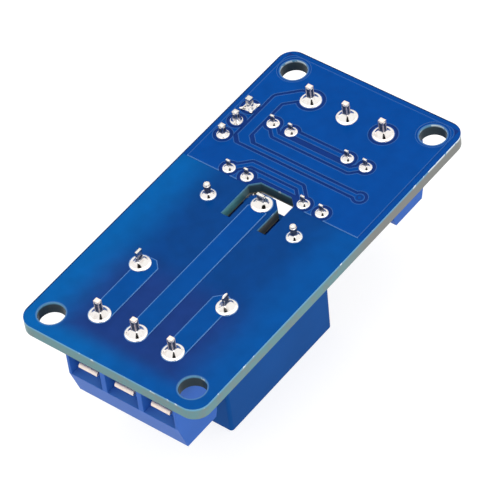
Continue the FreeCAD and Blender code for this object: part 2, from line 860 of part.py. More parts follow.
def terminal_housing(end):
    """The three-way housing with its wire windows, chambers, screw wells and leg slots."""
    body = new_body(end + "_housing_body")
    profile = [
        ("-terminal_back", 0),
        ("terminal_front", 0),
        ("terminal_front", "terminal_brow_height"),
        ("terminal_brow", "terminal_height"),
        ("terminal_back_bevel - terminal_back", "terminal_height"),
        ("-terminal_back", "terminal_height - 3 * terminal_back_bevel"),
    ]
    side_view = sketch(body, end + "_housing_profile", "XZ_Plane", [profile])
    pad(body, end + "_housing_pad", side_view, f"{len(POLES)} * terminal_pitch", symmetric=True)
    half_window = "(terminal_pitch - terminal_divider) / 2"
    middles = [f"{pole} * terminal_pitch" for pole in POLES]
    windows = [rectangle(f"{y} - {half_window}", "terminal_floor", f"{y} + {half_window}",
                         "terminal_brow_height")
               for y in middles]
    window_view = sketch(body, end + "_windows", "YZ_Plane", windows, "terminal_front")
    pocket(body, end + "_window_cut", window_view, "window_depth")
    chambers = [rectangle(f"{y} - {half_window}", "terminal_floor", f"{y} + {half_window}", "chamber_height")
                for y in middles]
    chamber_view = sketch(body, end + "_chambers", "YZ_Plane", chambers, "terminal_front - window_depth")
    chamber_depth = "terminal_front - window_depth + terminal_back - terminal_back_wall"
    pocket(body, end + "_chamber_cut", chamber_view, chamber_depth)
    wells = [("circle", "screw_offset", y, "screw_well_radius") for y in middles]
    well_view = sketch(body, end + "_wells", "XY_Plane", wells, "terminal_height")
    pocket(body, end + "_well_cut", well_view, "terminal_height - chamber_height")
    half_leg = "(terminal_leg_thickness / 2 + leg_slot_clearance)"
    half_width = "(terminal_leg_width / 2 + leg_slot_clearance)"
    slots = [rectangle(f"-{half_leg}", f"{y} - {half_width}", half_leg,
                       f"{y} + {half_width}") for y in middles]
    slot_view = sketch(body, end + "_leg_slots", "XY_Plane", slots)
    pocket(body, end + "_leg_slot_cut", slot_view, "terminal_floor", upward=True)
    return node(seat_terminal(body, end), end + "_terminal_housing")


def contact_frame(end, pole, name):
    """The bent contact frame: floor, back, threaded plate and the leg through the board."""
    body = new_body(name + "_body")
    profile = [
        ("frame_back", "terminal_floor"),
        ("frame_reach", "terminal_floor"),
        ("frame_reach", "terminal_floor + frame_sheet"),
        ("frame_back + frame_sheet", "terminal_floor + frame_sheet"),
        ("frame_back + frame_sheet", "frame_underside"),
        ("frame_reach", "frame_underside"),
        ("frame_reach", "frame_top"),
        ("frame_back", "frame_top"),
    ]
    side_view = sketch(body, name + "_profile", "XZ_Plane", [profile])
    pad(body, name + "_pad", side_view, "frame_width", symmetric=True)
    leg = rectangle("-terminal_leg_thickness / 2", "-board_thickness - terminal_leg_reach",
                    "terminal_leg_thickness / 2", "terminal_floor + frame_sheet / 2")
    leg_view = sketch(body, name + "_leg_lines", "XZ_Plane", [leg])
    pad(body, name + "_leg", leg_view, "terminal_leg_width", symmetric=True)
    thread = [("circle", "screw_offset", 0, "screw_shank_radius + thread_clearance")]
    thread_view = sketch(body, name + "_thread", "XY_Plane", thread, "frame_top")
    pocket(body, name + "_thread_cut", thread_view, "frame_plate")
    return node(seat_terminal(body, end, pole=pole), name)


def wire_guard(end, pole, name):
    """The strip that the screw presses onto the wire, with its round nose at the window."""
    body = new_body(name + "_body")
    profile = rectangle("frame_back + frame_sheet + guard_tail_clearance", "guard_top - guard_sheet",
                        "guard_reach", "guard_top")
    pad(body, name + "_pad", sketch(body, name + "_profile", "XZ_Plane", [profile]), "guard_width",
        symmetric=True)
    front = amount("guard_reach")
    wire_face = amount("guard_top") - amount("guard_sheet")

    def is_nose(edge):
        box = edge.BoundBox
        return box.XMin > front - EDGE_MARGIN and box.ZMax < wire_face + EDGE_MARGIN

    round_edges(body, name + "_nose", is_nose, "guard_nose")
    return node(seat_terminal(body, end, pole=pole), name)


def clamp_screw(end, pole, name):
    """The clamp screw, turned about its own axis, with a driver slot in its head."""
    body = new_body(name + "_body")
    head_radius = "screw_well_radius - screw_well_clearance"
    profile = [
        (0, "guard_top"),
        ("screw_shank_radius", "guard_top"),
        ("screw_shank_radius", "screw_seat"),
        (head_radius, "screw_seat"),
        (head_radius, "screw_seat + screw_head_thickness"),
        (0, "screw_seat + screw_head_thickness"),
    ]
    section = sketch(body, name + "_profile", "XZ_Plane", [profile])
    turning = body.newObject("PartDesign::Revolution", name + "_turning")
    turning.Profile = section
    turning.ReferenceAxis = (section, ["V_Axis"])
    turning.Angle = 360
    DOC.recompute()
    driver_slot = rectangle("-screw_well_radius", "-screw_slot_width / 2", "screw_well_radius",
                            "screw_slot_width / 2")
    slot_view = sketch(body, name + "_slot", "XY_Plane", [driver_slot], "screw_seat + screw_head_thickness")
    pocket(body, name + "_slot_cut", slot_view, "screw_slot_depth")
    return node(seat_terminal(body, end, "screw_offset", pole), name)


def terminal_block(end):
    """One terminal block with its housing and the three pieces of each pole."""
    terminal_housing(end)
    for number, pole in enumerate(POLES, start=1):
        contact_frame(end, pole, f"{end}_contact_frame_{number}")
        wire_guard(end, pole, f"{end}_wire_guard_{number}")
        clamp_screw(end, pole, f"{end}_clamp_screw_{number}")


# Relay. Each piece is drawn in the relay's own frame: X from the common pin towards the contacts,
# Y across, Z away from the board, origin at the common pin on the component side.

def seat_relay(thing):
    """Places a relay piece on the board."""
    return seat(thing, "common_x", "centre_line_y", "component_z", TURNED_ABOUT_Y)


def relay_cover():
    """The drafted case, open towards the board."""
    body = new_body("relay_cover_body")
    outer = rectangle("-common_to_end", "-relay_width / 2", "relay_length - common_to_end", "relay_width / 2")
    outline = sketch(body, "cover_outline", "XY_Plane", [outer])
    pad(body, "cover_pad", outline, "relay_height", taper_angle="-draft_angle")
    height = amount("relay_height")
    round_edges(body, "cover_corners", lambda edge: extent(edge)[2] > height / 2, "relay_corner")
    round_edges(body, "cover_rim", lambda edge: edge.BoundBox.ZMin > height - 0.01, "relay_rim")
    inner = rectangle("relay_wall - common_to_end", "relay_wall - relay_width / 2",
                      "relay_length - common_to_end - relay_wall", "relay_width / 2 - relay_wall")
    hollow = sketch(body, "cover_hollow", "XY_Plane", [inner])
    pocket(body, "cover_hollow_cut", hollow, "relay_height - relay_roof", upward=True,
           taper_angle="-draft_angle")
    return node(seat_relay(body), "relay_cover")


def relay_base():
    """The base plate inside the case's mouth, with its pin openings."""
    body = new_body("relay_base_body")
    margin = "(relay_wall + base_clearance)"
    plate = rectangle(f"{margin} - common_to_end", f"{margin} - relay_width / 2",
                      f"relay_length - common_to_end - {margin}", f"relay_width / 2 - {margin}")
    pad(body, "base_pad", sketch(body, "base_outline", "XY_Plane", [plate], "base_bottom"), "base_thickness")
    half_common = "(common_width / 2 + relay_hole_clearance)"
    half_blade_x = "(blade_width / 2 + relay_hole_clearance)"
    half_blade_y = "(blade_thickness / 2 + relay_hole_clearance)"
    openings = [rectangle("-common_to_end", f"-{half_common}", "common_thickness / 2 + relay_hole_clearance",
                          half_common)]
    for side in SIDES:
        y = f"{side} * relay_pin_spread / 2"
        openings.append(rectangle(f"contact_reach_x - {half_blade_x}", f"{y} - {half_blade_y}",
                                  f"contact_reach_x + {half_blade_x}", f"{y} + {half_blade_y}"))
        openings.append(("circle", "common_to_coil", y, "coil_pin_radius + relay_hole_clearance"))
    pocket(body, "base_openings", sketch(body, "base_opening_lines", "XY_Plane", openings))
    return node(seat_relay(body), "relay_base")


def magnet_yoke():
    """The L-shaped iron yoke with the bore for the core's shank."""
    body = new_body("yoke_body")
    foot_end = "coil_axis + core_radius + yoke_foot_margin"
    profile = [
        ("yoke_face", "base_top"),
        (foot_end, "base_top"),
        (foot_end, "base_top + yoke_sheet"),
        ("yoke_inner_face", "base_top + yoke_sheet"),
        ("yoke_inner_face", "yoke_height"),
        ("yoke_face", "yoke_height"),
    ]
    pad(body, "yoke_pad", sketch(body, "yoke_profile", "XZ_Plane", [profile]), "yoke_width", symmetric=True)
    bore = [("circle", "coil_axis", 0, "core_shank_radius")]
    pocket(body, "yoke_bore_cut", sketch(body, "yoke_bore", "XY_Plane", bore))
    return node(seat_relay(body), "magnet_yoke")


def coil_core():
    """The iron core: a shank riveted in the yoke and a pole through the bobbin."""
    shank = rod("core_shank", ("coil_axis", 0, "base_top"), "core_shank_radius", "yoke_sheet")
    pole = rod("core_pole", ("coil_axis", 0, "bobbin_bottom"), "core_radius", "core_height - bobbin_bottom")
    return node(seat_relay(join("core_solid", shank, pole)), "coil_core")


def coil_bobbin():
    """The bobbin with two flanges, the lower one with ears for the coil pins."""
    square = "2 * bobbin_half"
    low_x = "coil_axis - bobbin_half"
    ear_half = "(relay_pin_spread / 2 + bobbin_ear_margin)"
    height = "bobbin_top - bobbin_bottom"
    lower = block("bobbin_lower", (low_x, f"-{ear_half}", "bobbin_bottom"),
                  (square, f"2 * {ear_half}", "bobbin_flange"))
    upper = block("bobbin_upper", (low_x, "-bobbin_half", "bobbin_top - bobbin_flange"),
                  (square, square, "bobbin_flange"))
    tube = rod("bobbin_tube", ("coil_axis", 0, "bobbin_bottom"), "bobbin_tube_radius", height)
    bore = rod("bobbin_bore_rod", ("coil_axis", 0, "bobbin_bottom"), "bobbin_bore", height)
    pins = [rod(f"bobbin_pin_hole_{k}", ("common_to_coil", f"{side} * relay_pin_spread / 2", "bobbin_bottom"),
                "coil_pin_radius", "bobbin_flange") for k, side in enumerate(SIDES)]
    return node(seat_relay(cut("bobbin_solid", join("bobbin_spool", lower, upper, tube), bore, *pins)),
                "coil_bobbin")


def coil_winding():
    """The copper winding between the flanges, as one solid."""
    foot = ("coil_axis", 0, "bobbin_bottom + bobbin_flange")
    height = "bobbin_top - bobbin_bottom - 2 * bobbin_flange"
    outer = rod("winding_outer", foot, "winding_radius", height)
    inner = rod("winding_inner", foot, "bobbin_tube_radius + winding_clearance", height)
    return node(seat_relay(cut("winding_solid", outer, inner)), "coil_winding")


def coil_pins():
    """The two round coil pins, from the bobbin's ears through the board."""
    foot_z = "-board_thickness - coil_pin_reach"
    height = f"bobbin_bottom + bobbin_flange - ({foot_z})"
    pins = [rod(f"coil_pin_{k}", ("common_to_coil", f"{side} * relay_pin_spread / 2", foot_z),
                "coil_pin_radius", height)
            for k, side in enumerate(SIDES)]
    return node(seat_relay(group("coil_pin_group", pins)), "coil_pins")


def common_terminal():
    """The flat common pin, welded to the yoke's outer face."""
    body = new_body("common_body")
    blade = rectangle("-common_thickness / 2", "-board_thickness - common_reach",
                      "common_thickness / 2", "base_top + common_rise")
    pad(body, "common_pad", sketch(body, "common_lines", "XZ_Plane", [blade]), "common_width", symmetric=True)
    return node(seat_relay(body), "common_terminal")


def armature():
    """The flat iron armature that tips on the yoke's top edge."""
    body = new_body("armature_body")
    plate = rectangle("armature_start", "armature_bottom", "armature_end", "armature_top")
    pad(body, "armature_pad", sketch(body, "armature_lines", "XZ_Plane", [plate]), "armature_width",
        symmetric=True)
    return node(seat_relay(body), "armature")


def contact_spring():
    """The spring sheet on the armature: a leaf to the contacts and a tail behind the yoke."""
    body = new_body("spring_body")
    tail_face = "yoke_face - spring_tail_clearance"
    tip = "contact_reach_x + spring_overhang"
    profile = [
        (f"{tail_face} - spring_sheet", "spring_top - spring_tail"),
        (tail_face, "spring_top - spring_tail"),
        (tail_face, "armature_top"),
        (tip, "armature_top"),
        (tip, "spring_top"),
        (f"{tail_face} - spring_sheet", "spring_top"),
    ]
    pad(body, "spring_pad", sketch(body, "spring_profile", "XZ_Plane", [profile]), "spring_width",
        symmetric=True)
    hole = [("circle", "contact_reach_x", 0, "contact_shank_radius")]
    pocket(body, "spring_hole_cut", sketch(body, "spring_hole", "XY_Plane", hole))
    return node(seat_relay(body), "contact_spring")


def moving_contact():
    """The double-headed contact rivet in the end of the spring."""
    lower = rod("rivet_lower", ("contact_reach_x", 0, "rivet_bottom"), "contact_radius", "contact_head")
    shank = rod("rivet_shank", ("contact_reach_x", 0, "armature_top"), "contact_shank_radius", "spring_sheet")
    upper = rod("rivet_upper", ("contact_reach_x", 0, "spring_top"), "contact_radius", "contact_head")
    return node(seat_relay(join("rivet_solid", lower, shank, upper)), "moving_contact")


def fixed_contact(label, side, reach, button_bottom, arm_bottom):
    """A contact blade: pin, upright, arm to the middle and contact button."""
    foot_z = f"-board_thickness - {reach}"
    half_blade = "blade_width / 2"
    face_y = f"{side} * relay_pin_spread / 2"
    arm_top = f"{arm_bottom} + contact_arm_thickness"
    blade = block(label + "_blade",
                  (f"contact_reach_x - {half_blade}", f"{face_y} - blade_thickness / 2", foot_z),
                  ("blade_width", "blade_thickness", f"{arm_top} - ({foot_z})"))
    arm_length = f"relay_pin_spread / 2 + blade_thickness / 2 + {half_blade}"
    arm_low_y = f"-{half_blade}" if side > 0 else f"{face_y} - blade_thickness / 2"
    arm = block(label + "_arm", (f"contact_reach_x - {half_blade}", arm_low_y, arm_bottom),
                ("blade_width", arm_length, "contact_arm_thickness"))
    button = rod(label + "_button", ("contact_reach_x", 0, button_bottom), "fixed_contact_radius",
                 "fixed_contact_thickness")
    return node(seat_relay(join(label + "_solid", blade, arm, button)), label)


def relay():
    """The relay with its case, magnet, armature and contacts."""
    relay_cover()
    relay_base()
    magnet_yoke()
    coil_core()
    coil_bobbin()
    coil_winding()
    coil_pins()
    common_terminal()
    armature()
    contact_spring()
    moving_contact()
    open_button = "open_contact_top - fixed_contact_thickness"
    fixed_contact("normally_open_terminal", 1, "open_blade_reach", open_button,
                  f"{open_button} - contact_arm_thickness")
    fixed_contact("normally_closed_terminal", -1, "closed_blade_reach", "closed_contact_bottom",
                  "closed_contact_bottom + fixed_contact_thickness")


# Pieces of the component side. Each is drawn upright on the board and then turned over.

def seat_component(thing, x, y):
    """Places a piece on the component side."""
    return seat(thing, x, y, "component_z", TURNED_ABOUT_X)


def trigger_header():
    """The three-pin header that selects the trigger level."""
    half_strip = "header_strip_width / 2"
    length = f"{len(POLES)} * header_pitch"
    strip = block("strip_block", (f"-({length}) / 2", f"-{half_strip}", 0),
                  (length, "header_strip_width", "header_strip_height"))
    sockets = [block(f"strip_hole_{k}",
                     (f"{pole} * header_pitch - header_pin_side / 2", "-header_pin_side / 2", 0),
                     ("header_pin_side", "header_pin_side",
                      "header_strip_height")) for k, pole in enumerate(POLES)]
    node(seat_component(cut("strip_solid", strip, *sockets), "header_x", "header_y"), "header_strip")
    foot_z = "-board_thickness - header_pin_reach"
    pins = [block(f"header_pin_{k}",
                  (f"{pole} * header_pitch - header_pin_side / 2", "-header_pin_side / 2", foot_z),
                  ("header_pin_side", "header_pin_side", f"header_pin_height - ({foot_z})"))
            for k, pole in enumerate(POLES)]
    node(seat_component(group("header_pin_group", pins), "header_x", "header_y"), "header_pins")


def jumper():
    """The jumper cap over two of the header pins, with its spring clip."""
    cap = block("jumper_block", ("-jumper_length / 2", "-jumper_width / 2", "jumper_bottom"),
                ("jumper_length", "jumper_width", "jumper_height"))
    hollow = block("jumper_hollow",
                   ("jumper_wall - jumper_length / 2", "jumper_wall - jumper_width / 2", "jumper_bottom"),
                   ("jumper_length - 2 * jumper_wall", "jumper_width - 2 * jumper_wall",
                    "jumper_height - jumper_roof"))
    node(seat_component(cut("jumper_solid", cap, hollow), "jumper_x", "header_y"), "jumper_cap")
    body = new_body("clip_body")
    inner = "(header_pin_side / 2 + clip_pin_clearance)"
    outer = f"({inner} + clip_sheet)"
    bottom = "jumper_bottom + clip_setback"
    top = "jumper_top - jumper_roof - clip_roof_clearance"
    profile = [
        (f"-{outer}", bottom),
        (f"-{inner}", bottom),
        (f"-{inner}", f"{top} - clip_sheet"),
        (inner, f"{top} - clip_sheet"),
        (inner, bottom),
        (outer, bottom),
        (outer, top),
        (f"-{outer}", top),
    ]
    pad(body, "clip_pad", sketch(body, "clip_profile", "YZ_Plane", [profile]), "clip_length", symmetric=True)
    node(seat_component(body, "jumper_x", "header_y"), "jumper_clip")


def optocoupler(number):
    """One optocoupler: its moulded body and its four leads."""
    name = f"optocoupler_{number}"
    place = ("optocoupler_x", f"{name}_y")
    body = new_body(name + "_moulding")
    outline = rectangle("-optocoupler_length / 2", "-optocoupler_width / 2", "optocoupler_length / 2",
                        "optocoupler_width / 2")
    pad(body, name + "_pad", sketch(body, name + "_outline", "XY_Plane", [outline], "optocoupler_standoff"),
        "optocoupler_height")
    top = amount("optocoupler_standoff") + amount("optocoupler_height")
    tip = body.Tip
    edges = [f"Edge{k}" for k, edge in enumerate(tip.Shape.Edges, start=1) if edge.BoundBox.ZMin > top - 0.01]
    bevel = body.newObject("PartDesign::Chamfer", name + "_bevel")
    bevel.Base = (tip, edges)
    bind(bevel, Size="optocoupler_bevel")
    DOC.recompute()
    dimple = [("circle", "dimple_inset - optocoupler_length / 2", "optocoupler_width / 2 - dimple_inset",
               "dimple_radius")]
    dimple_view = sketch(body, name + "_dimple", "XY_Plane", dimple,
                         "optocoupler_standoff + optocoupler_height")
    pocket(body, name + "_dimple_cut", dimple_view, "dimple_depth")
    node(seat_component(body, *place), name + "_body")
    leads = [optocoupler_lead(f"{name}_lead_{end}_{side}".replace("-", "m"), end,
                              side) for end in SIDES for side in SIDES]
    node(seat_component(group(name + "_lead_group", leads), *place), name + "_leads")


def optocoupler_lead(name, end, side):
    """One lead: a stub out of the body, a wide shoulder and a thin leg through the board."""
    middle_y = f"{side} * optocoupler_pitch / 2"
    face_x = "optocoupler_length / 2"
    outer_x = "(lead_x + lead_sheet / 2)"
    stub_low_x = face_x if end > 0 else f"-{outer_x}"
    leg_low_x = f"{end} * lead_x - lead_sheet / 2"
    shoulder_low_y = f"{middle_y} - lead_shoulder_width / 2"
    foot_z = "-board_thickness - lead_reach"
    stub = block(name + "_stub", (stub_low_x, shoulder_low_y, "lead_level - lead_sheet"),
                 (f"{outer_x} - {face_x}", "lead_shoulder_width", "lead_sheet"))
    shoulder = block(name + "_shoulder", (leg_low_x, shoulder_low_y, "lead_shoulder_height"),
                     ("lead_sheet", "lead_shoulder_width", "lead_level - lead_shoulder_height"))
    leg = block(name + "_leg", (leg_low_x, f"{middle_y} - lead_width / 2", foot_z),
                ("lead_sheet", "lead_width", f"lead_shoulder_height - ({foot_z})"))
    return join(name, stub, shoulder, leg)


CHIP_PLACES = [("chip_row_x", f"{side} * {y}") for side in SIDES for y in ("chip_outer_y", "chip_inner_y")]
LED_PLACES = {"power_led": "power_led_x", "switch_led": "switch_led_x"}


def chip_block(name, place, thickness):
    """The body of a two-ended chip part, resting on its lands."""
    x, y = place
    return block(name, (f"{x} - chip_length / 2", f"{y} - chip_width / 2",
                        f"component_z - land_thickness - {thickness}"),
                 ("chip_length", "chip_width", thickness))


def chip_solder(name, place):
    """The two lands of a chip part with the solder that climbs its ends."""
    x, y = place
    pieces = []
    for k, end in enumerate(SIDES):
        face_x = f"{x} + {end} * chip_length / 2"
        centre_x = f"{face_x} + {end} * (land_margin - chip_land / 2)"
        land = block(f"{name}_land_{k}",
                     (f"{centre_x} - chip_land / 2", f"{y} - chip_width / 2", "component_z - land_thickness"),
                     ("chip_land", "chip_width", "land_thickness"))
        low_x = face_x if end > 0 else f"{face_x} - chip_fillet"
        fillet = block(f"{name}_fillet_{k}",
                       (low_x, f"{y} - chip_width / 2", "component_z - land_thickness - chip_fillet"),
                       ("chip_fillet", "chip_width", "chip_fillet"))
        pieces.append(join(f"{name}_end_{k}", land, fillet))
    return pieces


def flat_land(name, x, y, length, width):
    """A plain land under a lead, centred on its place."""
    return block(name, (f"{x} - ({length}) / 2", f"{y} - ({width}) / 2", "component_z - land_thickness"),
                 (length, width, "land_thickness"))


def flyback_diode():
    """The diode across the coil: its moulding, its two bent leads and their lands."""
    middle_y = "centre_line_y"
    moulding = block("diode_block", ("diode_x - diode_width / 2", f"{middle_y} - diode_length / 2",
                                     "component_z - land_thickness - lead_sheet - diode_thickness"),
                     ("diode_width", "diode_length", "diode_thickness"))
    node(moulding, "flyback_diode")
    leads = []
    lands = []
    for k, end in enumerate(SIDES):
        face_y = f"{middle_y} + {end} * diode_length / 2"
        low_y = face_y if end > 0 else f"{face_y} - lead_sheet"
        foot_low_y = f"{face_y} - diode_lead_width + lead_sheet" if end > 0 else f"{face_y} - lead_sheet"
        riser = block(f"diode_riser_{k}", ("diode_x - diode_lead_width / 2", low_y,
                                           "component_z - land_thickness - lead_sheet - diode_thickness / 2"),
                      ("diode_lead_width", "lead_sheet", "diode_thickness / 2 + lead_sheet"))
        foot = block(f"diode_foot_{k}", ("diode_x - diode_lead_width / 2", foot_low_y,
                                         "component_z - land_thickness - lead_sheet"),
                     ("diode_lead_width", "diode_lead_width", "lead_sheet"))
        leads.append(join(f"diode_lead_{k}", riser, foot))
        lands.append(flat_land(f"diode_land_{k}", "diode_x",
                               f"{face_y} + {end} * (lead_sheet - diode_lead_width / 2)",
                               "diode_lead_width", "diode_lead_width"))
    node(group("diode_lead_group", leads), "diode_leads")
    return lands


def driver_transistor():
    """The coil driver: its moulding, its three bent leads and their lands."""
    underside = "component_z - land_thickness - transistor_lead_sheet"
    moulding = block("transistor_block",
                     ("transistor_x - transistor_width / 2", "centre_line_y - transistor_length / 2",
                                          f"{underside} - transistor_thickness"),
                     ("transistor_width", "transistor_length", "transistor_thickness"))
    node(moulding, "driver_transistor")
    leads = []
    lands = []
    for k, (end, across) in enumerate([(-1, -1), (-1, 1), (1, 0)]):
        face_x = f"transistor_x + {end} * transistor_width / 2"
        lead_y = f"centre_line_y + {across} * transistor_pitch / 2"
        low_x = face_x if end > 0 else f"{face_x} - transistor_lead_sheet"
        foot_low_x = face_x if end > 0 else f"{face_x} - transistor_lead_length"
        riser = block(f"transistor_riser_{k}", (low_x, f"{lead_y} - transistor_lead_width / 2",
                                                f"{underside} - transistor_thickness / 2"),
                      ("transistor_lead_sheet", "transistor_lead_width",
                       "transistor_thickness / 2 + transistor_lead_sheet"))
        foot = block(f"transistor_foot_{k}", (foot_low_x, f"{lead_y} - transistor_lead_width / 2", underside),
                     ("transistor_lead_length", "transistor_lead_width", "transistor_lead_sheet"))
        leads.append(join(f"transistor_lead_{k}", riser, foot))
        lands.append(flat_land(f"transistor_land_{k}", f"{face_x} + {end} * transistor_lead_length / 2",
                               lead_y,
                               "transistor_lead_length", "2 * transistor_lead_width"))
    node(group("transistor_lead_group", leads), "transistor_leads")
    return lands


def surface_parts():
    """The chip resistors, lamps, diode and transistor with the solder under them."""
    chips = [chip_block(f"chip_{k}", place, "chip_thickness") for k, place in enumerate(CHIP_PLACES)]
    node(group("chip_group", chips), "chip_resistors")
    solder = []
    for k, place in enumerate(CHIP_PLACES):
        solder += chip_solder(f"chip_{k}_solder", place)
    for name, x in LED_PLACES.items():
        place = (x, "led_y")
        base = chip_block(name + "_base", place, "chip_thickness")
        lens = block(name + "_lens", (f"{x} - led_lens_length / 2", "led_y - chip_width / 2",
                                      "component_z - land_thickness - chip_thickness - led_lens_thickness"),
                     ("led_lens_length", "chip_width", "led_lens_thickness"))
        node(join(name + "_solid", base, lens), name)
        solder += chip_solder(name + "_solder", place)
    solder += flyback_diode()
    solder += driver_transistor()
    node(group("surface_solder_group", solder), "surface_mount_solder")


def check_and_write():
    """Checks every object and each sub-part, then writes one file for each sub-part."""
    DOC.recompute()
    for thing in DOC.Objects:
        if "Invalid" in thing.State or "Error" in thing.State:
            raise RuntimeError(f"{thing.Name} failed: {thing.State}")
    for thing in NODES:
        if thing.Shape.isNull() or not thing.Shape.isValid() or not thing.Shape.Solids:
            raise RuntimeError(f"{thing.Label} has no valid solid")
    os.makedirs("parts", exist_ok=True)
    for thing in NODES:
        thing.Shape.exportStep(f"parts/{thing.Label}.step")
        print(f"{thing.Label}: {len(thing.Shape.Solids)} solids, {thing.Shape.Volume:.2f} mm3")


fill_sheet()
circuit_board()
solder_side_copper()
solder_joints()
for block_end in TERMINAL_ENDS:
    terminal_block(block_end)
relay()
trigger_header()
jumper()
for opto_number in (1, 2):
    optocoupler(opto_number)
surface_parts()
check_and_write()
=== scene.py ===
"""Looks of a relay module board that lies on its relay, solder side up.

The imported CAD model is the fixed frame. Its nodes keep their shapes and get finishes here. The solder joints
and the wetted pins in them are modelled anew, because their soft shapes carry most of the look.
Lengths in the classes are in millimetres in the model's own frame, and become metres where they are used.
"""

import logging
import math
import random
from dataclasses import dataclass, field
from enum import Enum

import bpy
from mathutils import Matrix, Vector


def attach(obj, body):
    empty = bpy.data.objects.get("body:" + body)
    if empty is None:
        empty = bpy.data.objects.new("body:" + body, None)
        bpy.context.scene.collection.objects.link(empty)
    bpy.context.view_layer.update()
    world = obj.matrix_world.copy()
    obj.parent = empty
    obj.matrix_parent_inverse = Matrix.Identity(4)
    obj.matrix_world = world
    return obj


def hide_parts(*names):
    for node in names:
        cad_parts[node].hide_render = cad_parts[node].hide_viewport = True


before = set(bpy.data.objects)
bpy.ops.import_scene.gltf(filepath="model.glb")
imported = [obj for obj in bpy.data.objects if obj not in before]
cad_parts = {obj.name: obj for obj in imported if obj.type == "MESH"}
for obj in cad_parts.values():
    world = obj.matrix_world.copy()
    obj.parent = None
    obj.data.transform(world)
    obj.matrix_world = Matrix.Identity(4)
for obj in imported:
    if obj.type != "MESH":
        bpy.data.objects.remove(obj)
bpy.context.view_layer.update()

LOG = logging.getLogger("relay_module_board")

MM = 0.001

# Nearly all values of a noise texture lie between these two
NOISE_SPAN = (0.3, 0.7)
# Inputs and output of a node that mixes two colours
SHARE, FIRST, SECOND, MIXED = 0, 6, 7, 2

Tree = bpy.types.NodeTree
Node = bpy.types.Node
Socket = bpy.types.NodeSocket
Colour = tuple[float, float, float, float]
Span = tuple[float, float]
Place = tuple[float, float]
Point = tuple[float, float, float]


# Colours and shader nodes

def linear(hex_colour: str) -> Colour:
    """Turns an sRGB hex colour into the linear colour that the shaders take.

    Args:
        hex_colour: six hex digits after a hash sign.

    Returns:
        Linear red, green and blue, and an alpha of one.
    """
    shares = [int(hex_colour[at:at + 2], 16) / 255 for at in (1, 3, 5)]
    red, green, blue = (s / 12.92 if s <= 0.04045 else ((s + 0.055) / 1.055) ** 2.4 for s in shares)
    return red, green, blue, 1.0


def add_node(tree: Tree, kind: str, inputs: dict | list | tuple = (), **settings) -> Node:
    """Adds one shader node with its settings and links.

    Args:
        tree: the material's node tree.
        kind: Blender's name of the node's type.
        inputs: the values or sockets that feed it, as a list for the first inputs in their order or as a
            dictionary by name or number.
        settings: the node's own properties.

    Returns:
        The new node.
    """
    node = tree.nodes.new(kind)
    for name, value in settings.items():
        setattr(node, name, value)
    for key, value in inputs.items() if isinstance(inputs, dict) else enumerate(inputs):
        if isinstance(value, Socket):
            tree.links.new(value, node.inputs[key])
        else:
            node.inputs[key].default_value = value
    return node


def per_mm(size: float) -> float:
    """Gives the texture scale, per metre, of a pattern whose repeat is so many millimetres."""
    return 1 / (size * MM)


def metres(span: tuple[float, ...], past: float = 0.0) -> tuple[float, ...]:
    """Turns places in millimetres, counted from another place, into metres."""
    return tuple((past + place) * MM for place in span)


@dataclass(frozen=True)
class Finish:
    """A surface finish. Its material is made at the first use and then shared."""

    name: str

    def material(self) -> bpy.types.Material:
        """Makes the finish's material, or finds it where it was made before.

        Returns:
            The material.
        """
        made = bpy.data.materials.get(self.name)
        if made is None:
            made = bpy.data.materials.new(self.name)
            made.use_nodes = True
            tree = made.node_tree
            tree.nodes.clear()
            shader = add_node(tree, "ShaderNodeBsdfPrincipled")
            add_node(tree, "ShaderNodeOutputMaterial", {"Surface": shader.outputs["BSDF"]})
            place = add_node(tree, "ShaderNodeTexCoord").outputs["Object"]
            self.paint(tree, shader, place)
        return made

    def paint(self, tree: Tree, shader: Node, place: Socket) -> None:
        """Feeds the shader.

        Args:
            tree: the material's node tree.
            shader: its Principled shader.
            place: the point's place in the model's frame, in metres.
        """
        raise NotImplementedError

    def mottle(self, tree: Tree, pattern: Socket, colour: Socket | Colour, swing: float) -> Socket:
        """Lets a colour's brightness rise and fall with a pattern.

        Args:
            tree: the material's node tree.
            pattern: the noise that it follows.
            colour: the colour, or the socket that gives it.
            swing: the share by which the brightness rises and falls.

        Returns:
            The colour socket.
        """
        value = add_node(tree, "ShaderNodeMapRange", [pattern, *NOISE_SPAN, 1 - swing, 1 + swing])
        return add_node(tree, "ShaderNodeHueSaturation", {"Value": value.outputs[0], "Color": colour}).outputs[0]

    def relief(self, tree: Tree, shader: Node, height: Socket, depth: float, edge: float = 0.08) -> None:
        """Bumps the shader's surface and softens its sharp edges.

        Args:
            tree: the material's node tree.
            shader: its Principled shader.
            height: the height pattern, from zero to one.
            depth: what a height of one stands for, in millimetres.
            edge: the radius to which sharp edges look rounded, in millimetres.
        """
        soft = add_node(tree, "ShaderNodeBevel", {"Radius": edge * MM}, samples=4)
        bump = add_node(tree, "ShaderNodeBump",
                        {"Height": height, "Distance": depth * MM, "Normal": soft.outputs[0]})
        tree.links.new(bump.outputs["Normal"], shader.inputs["Normal"])


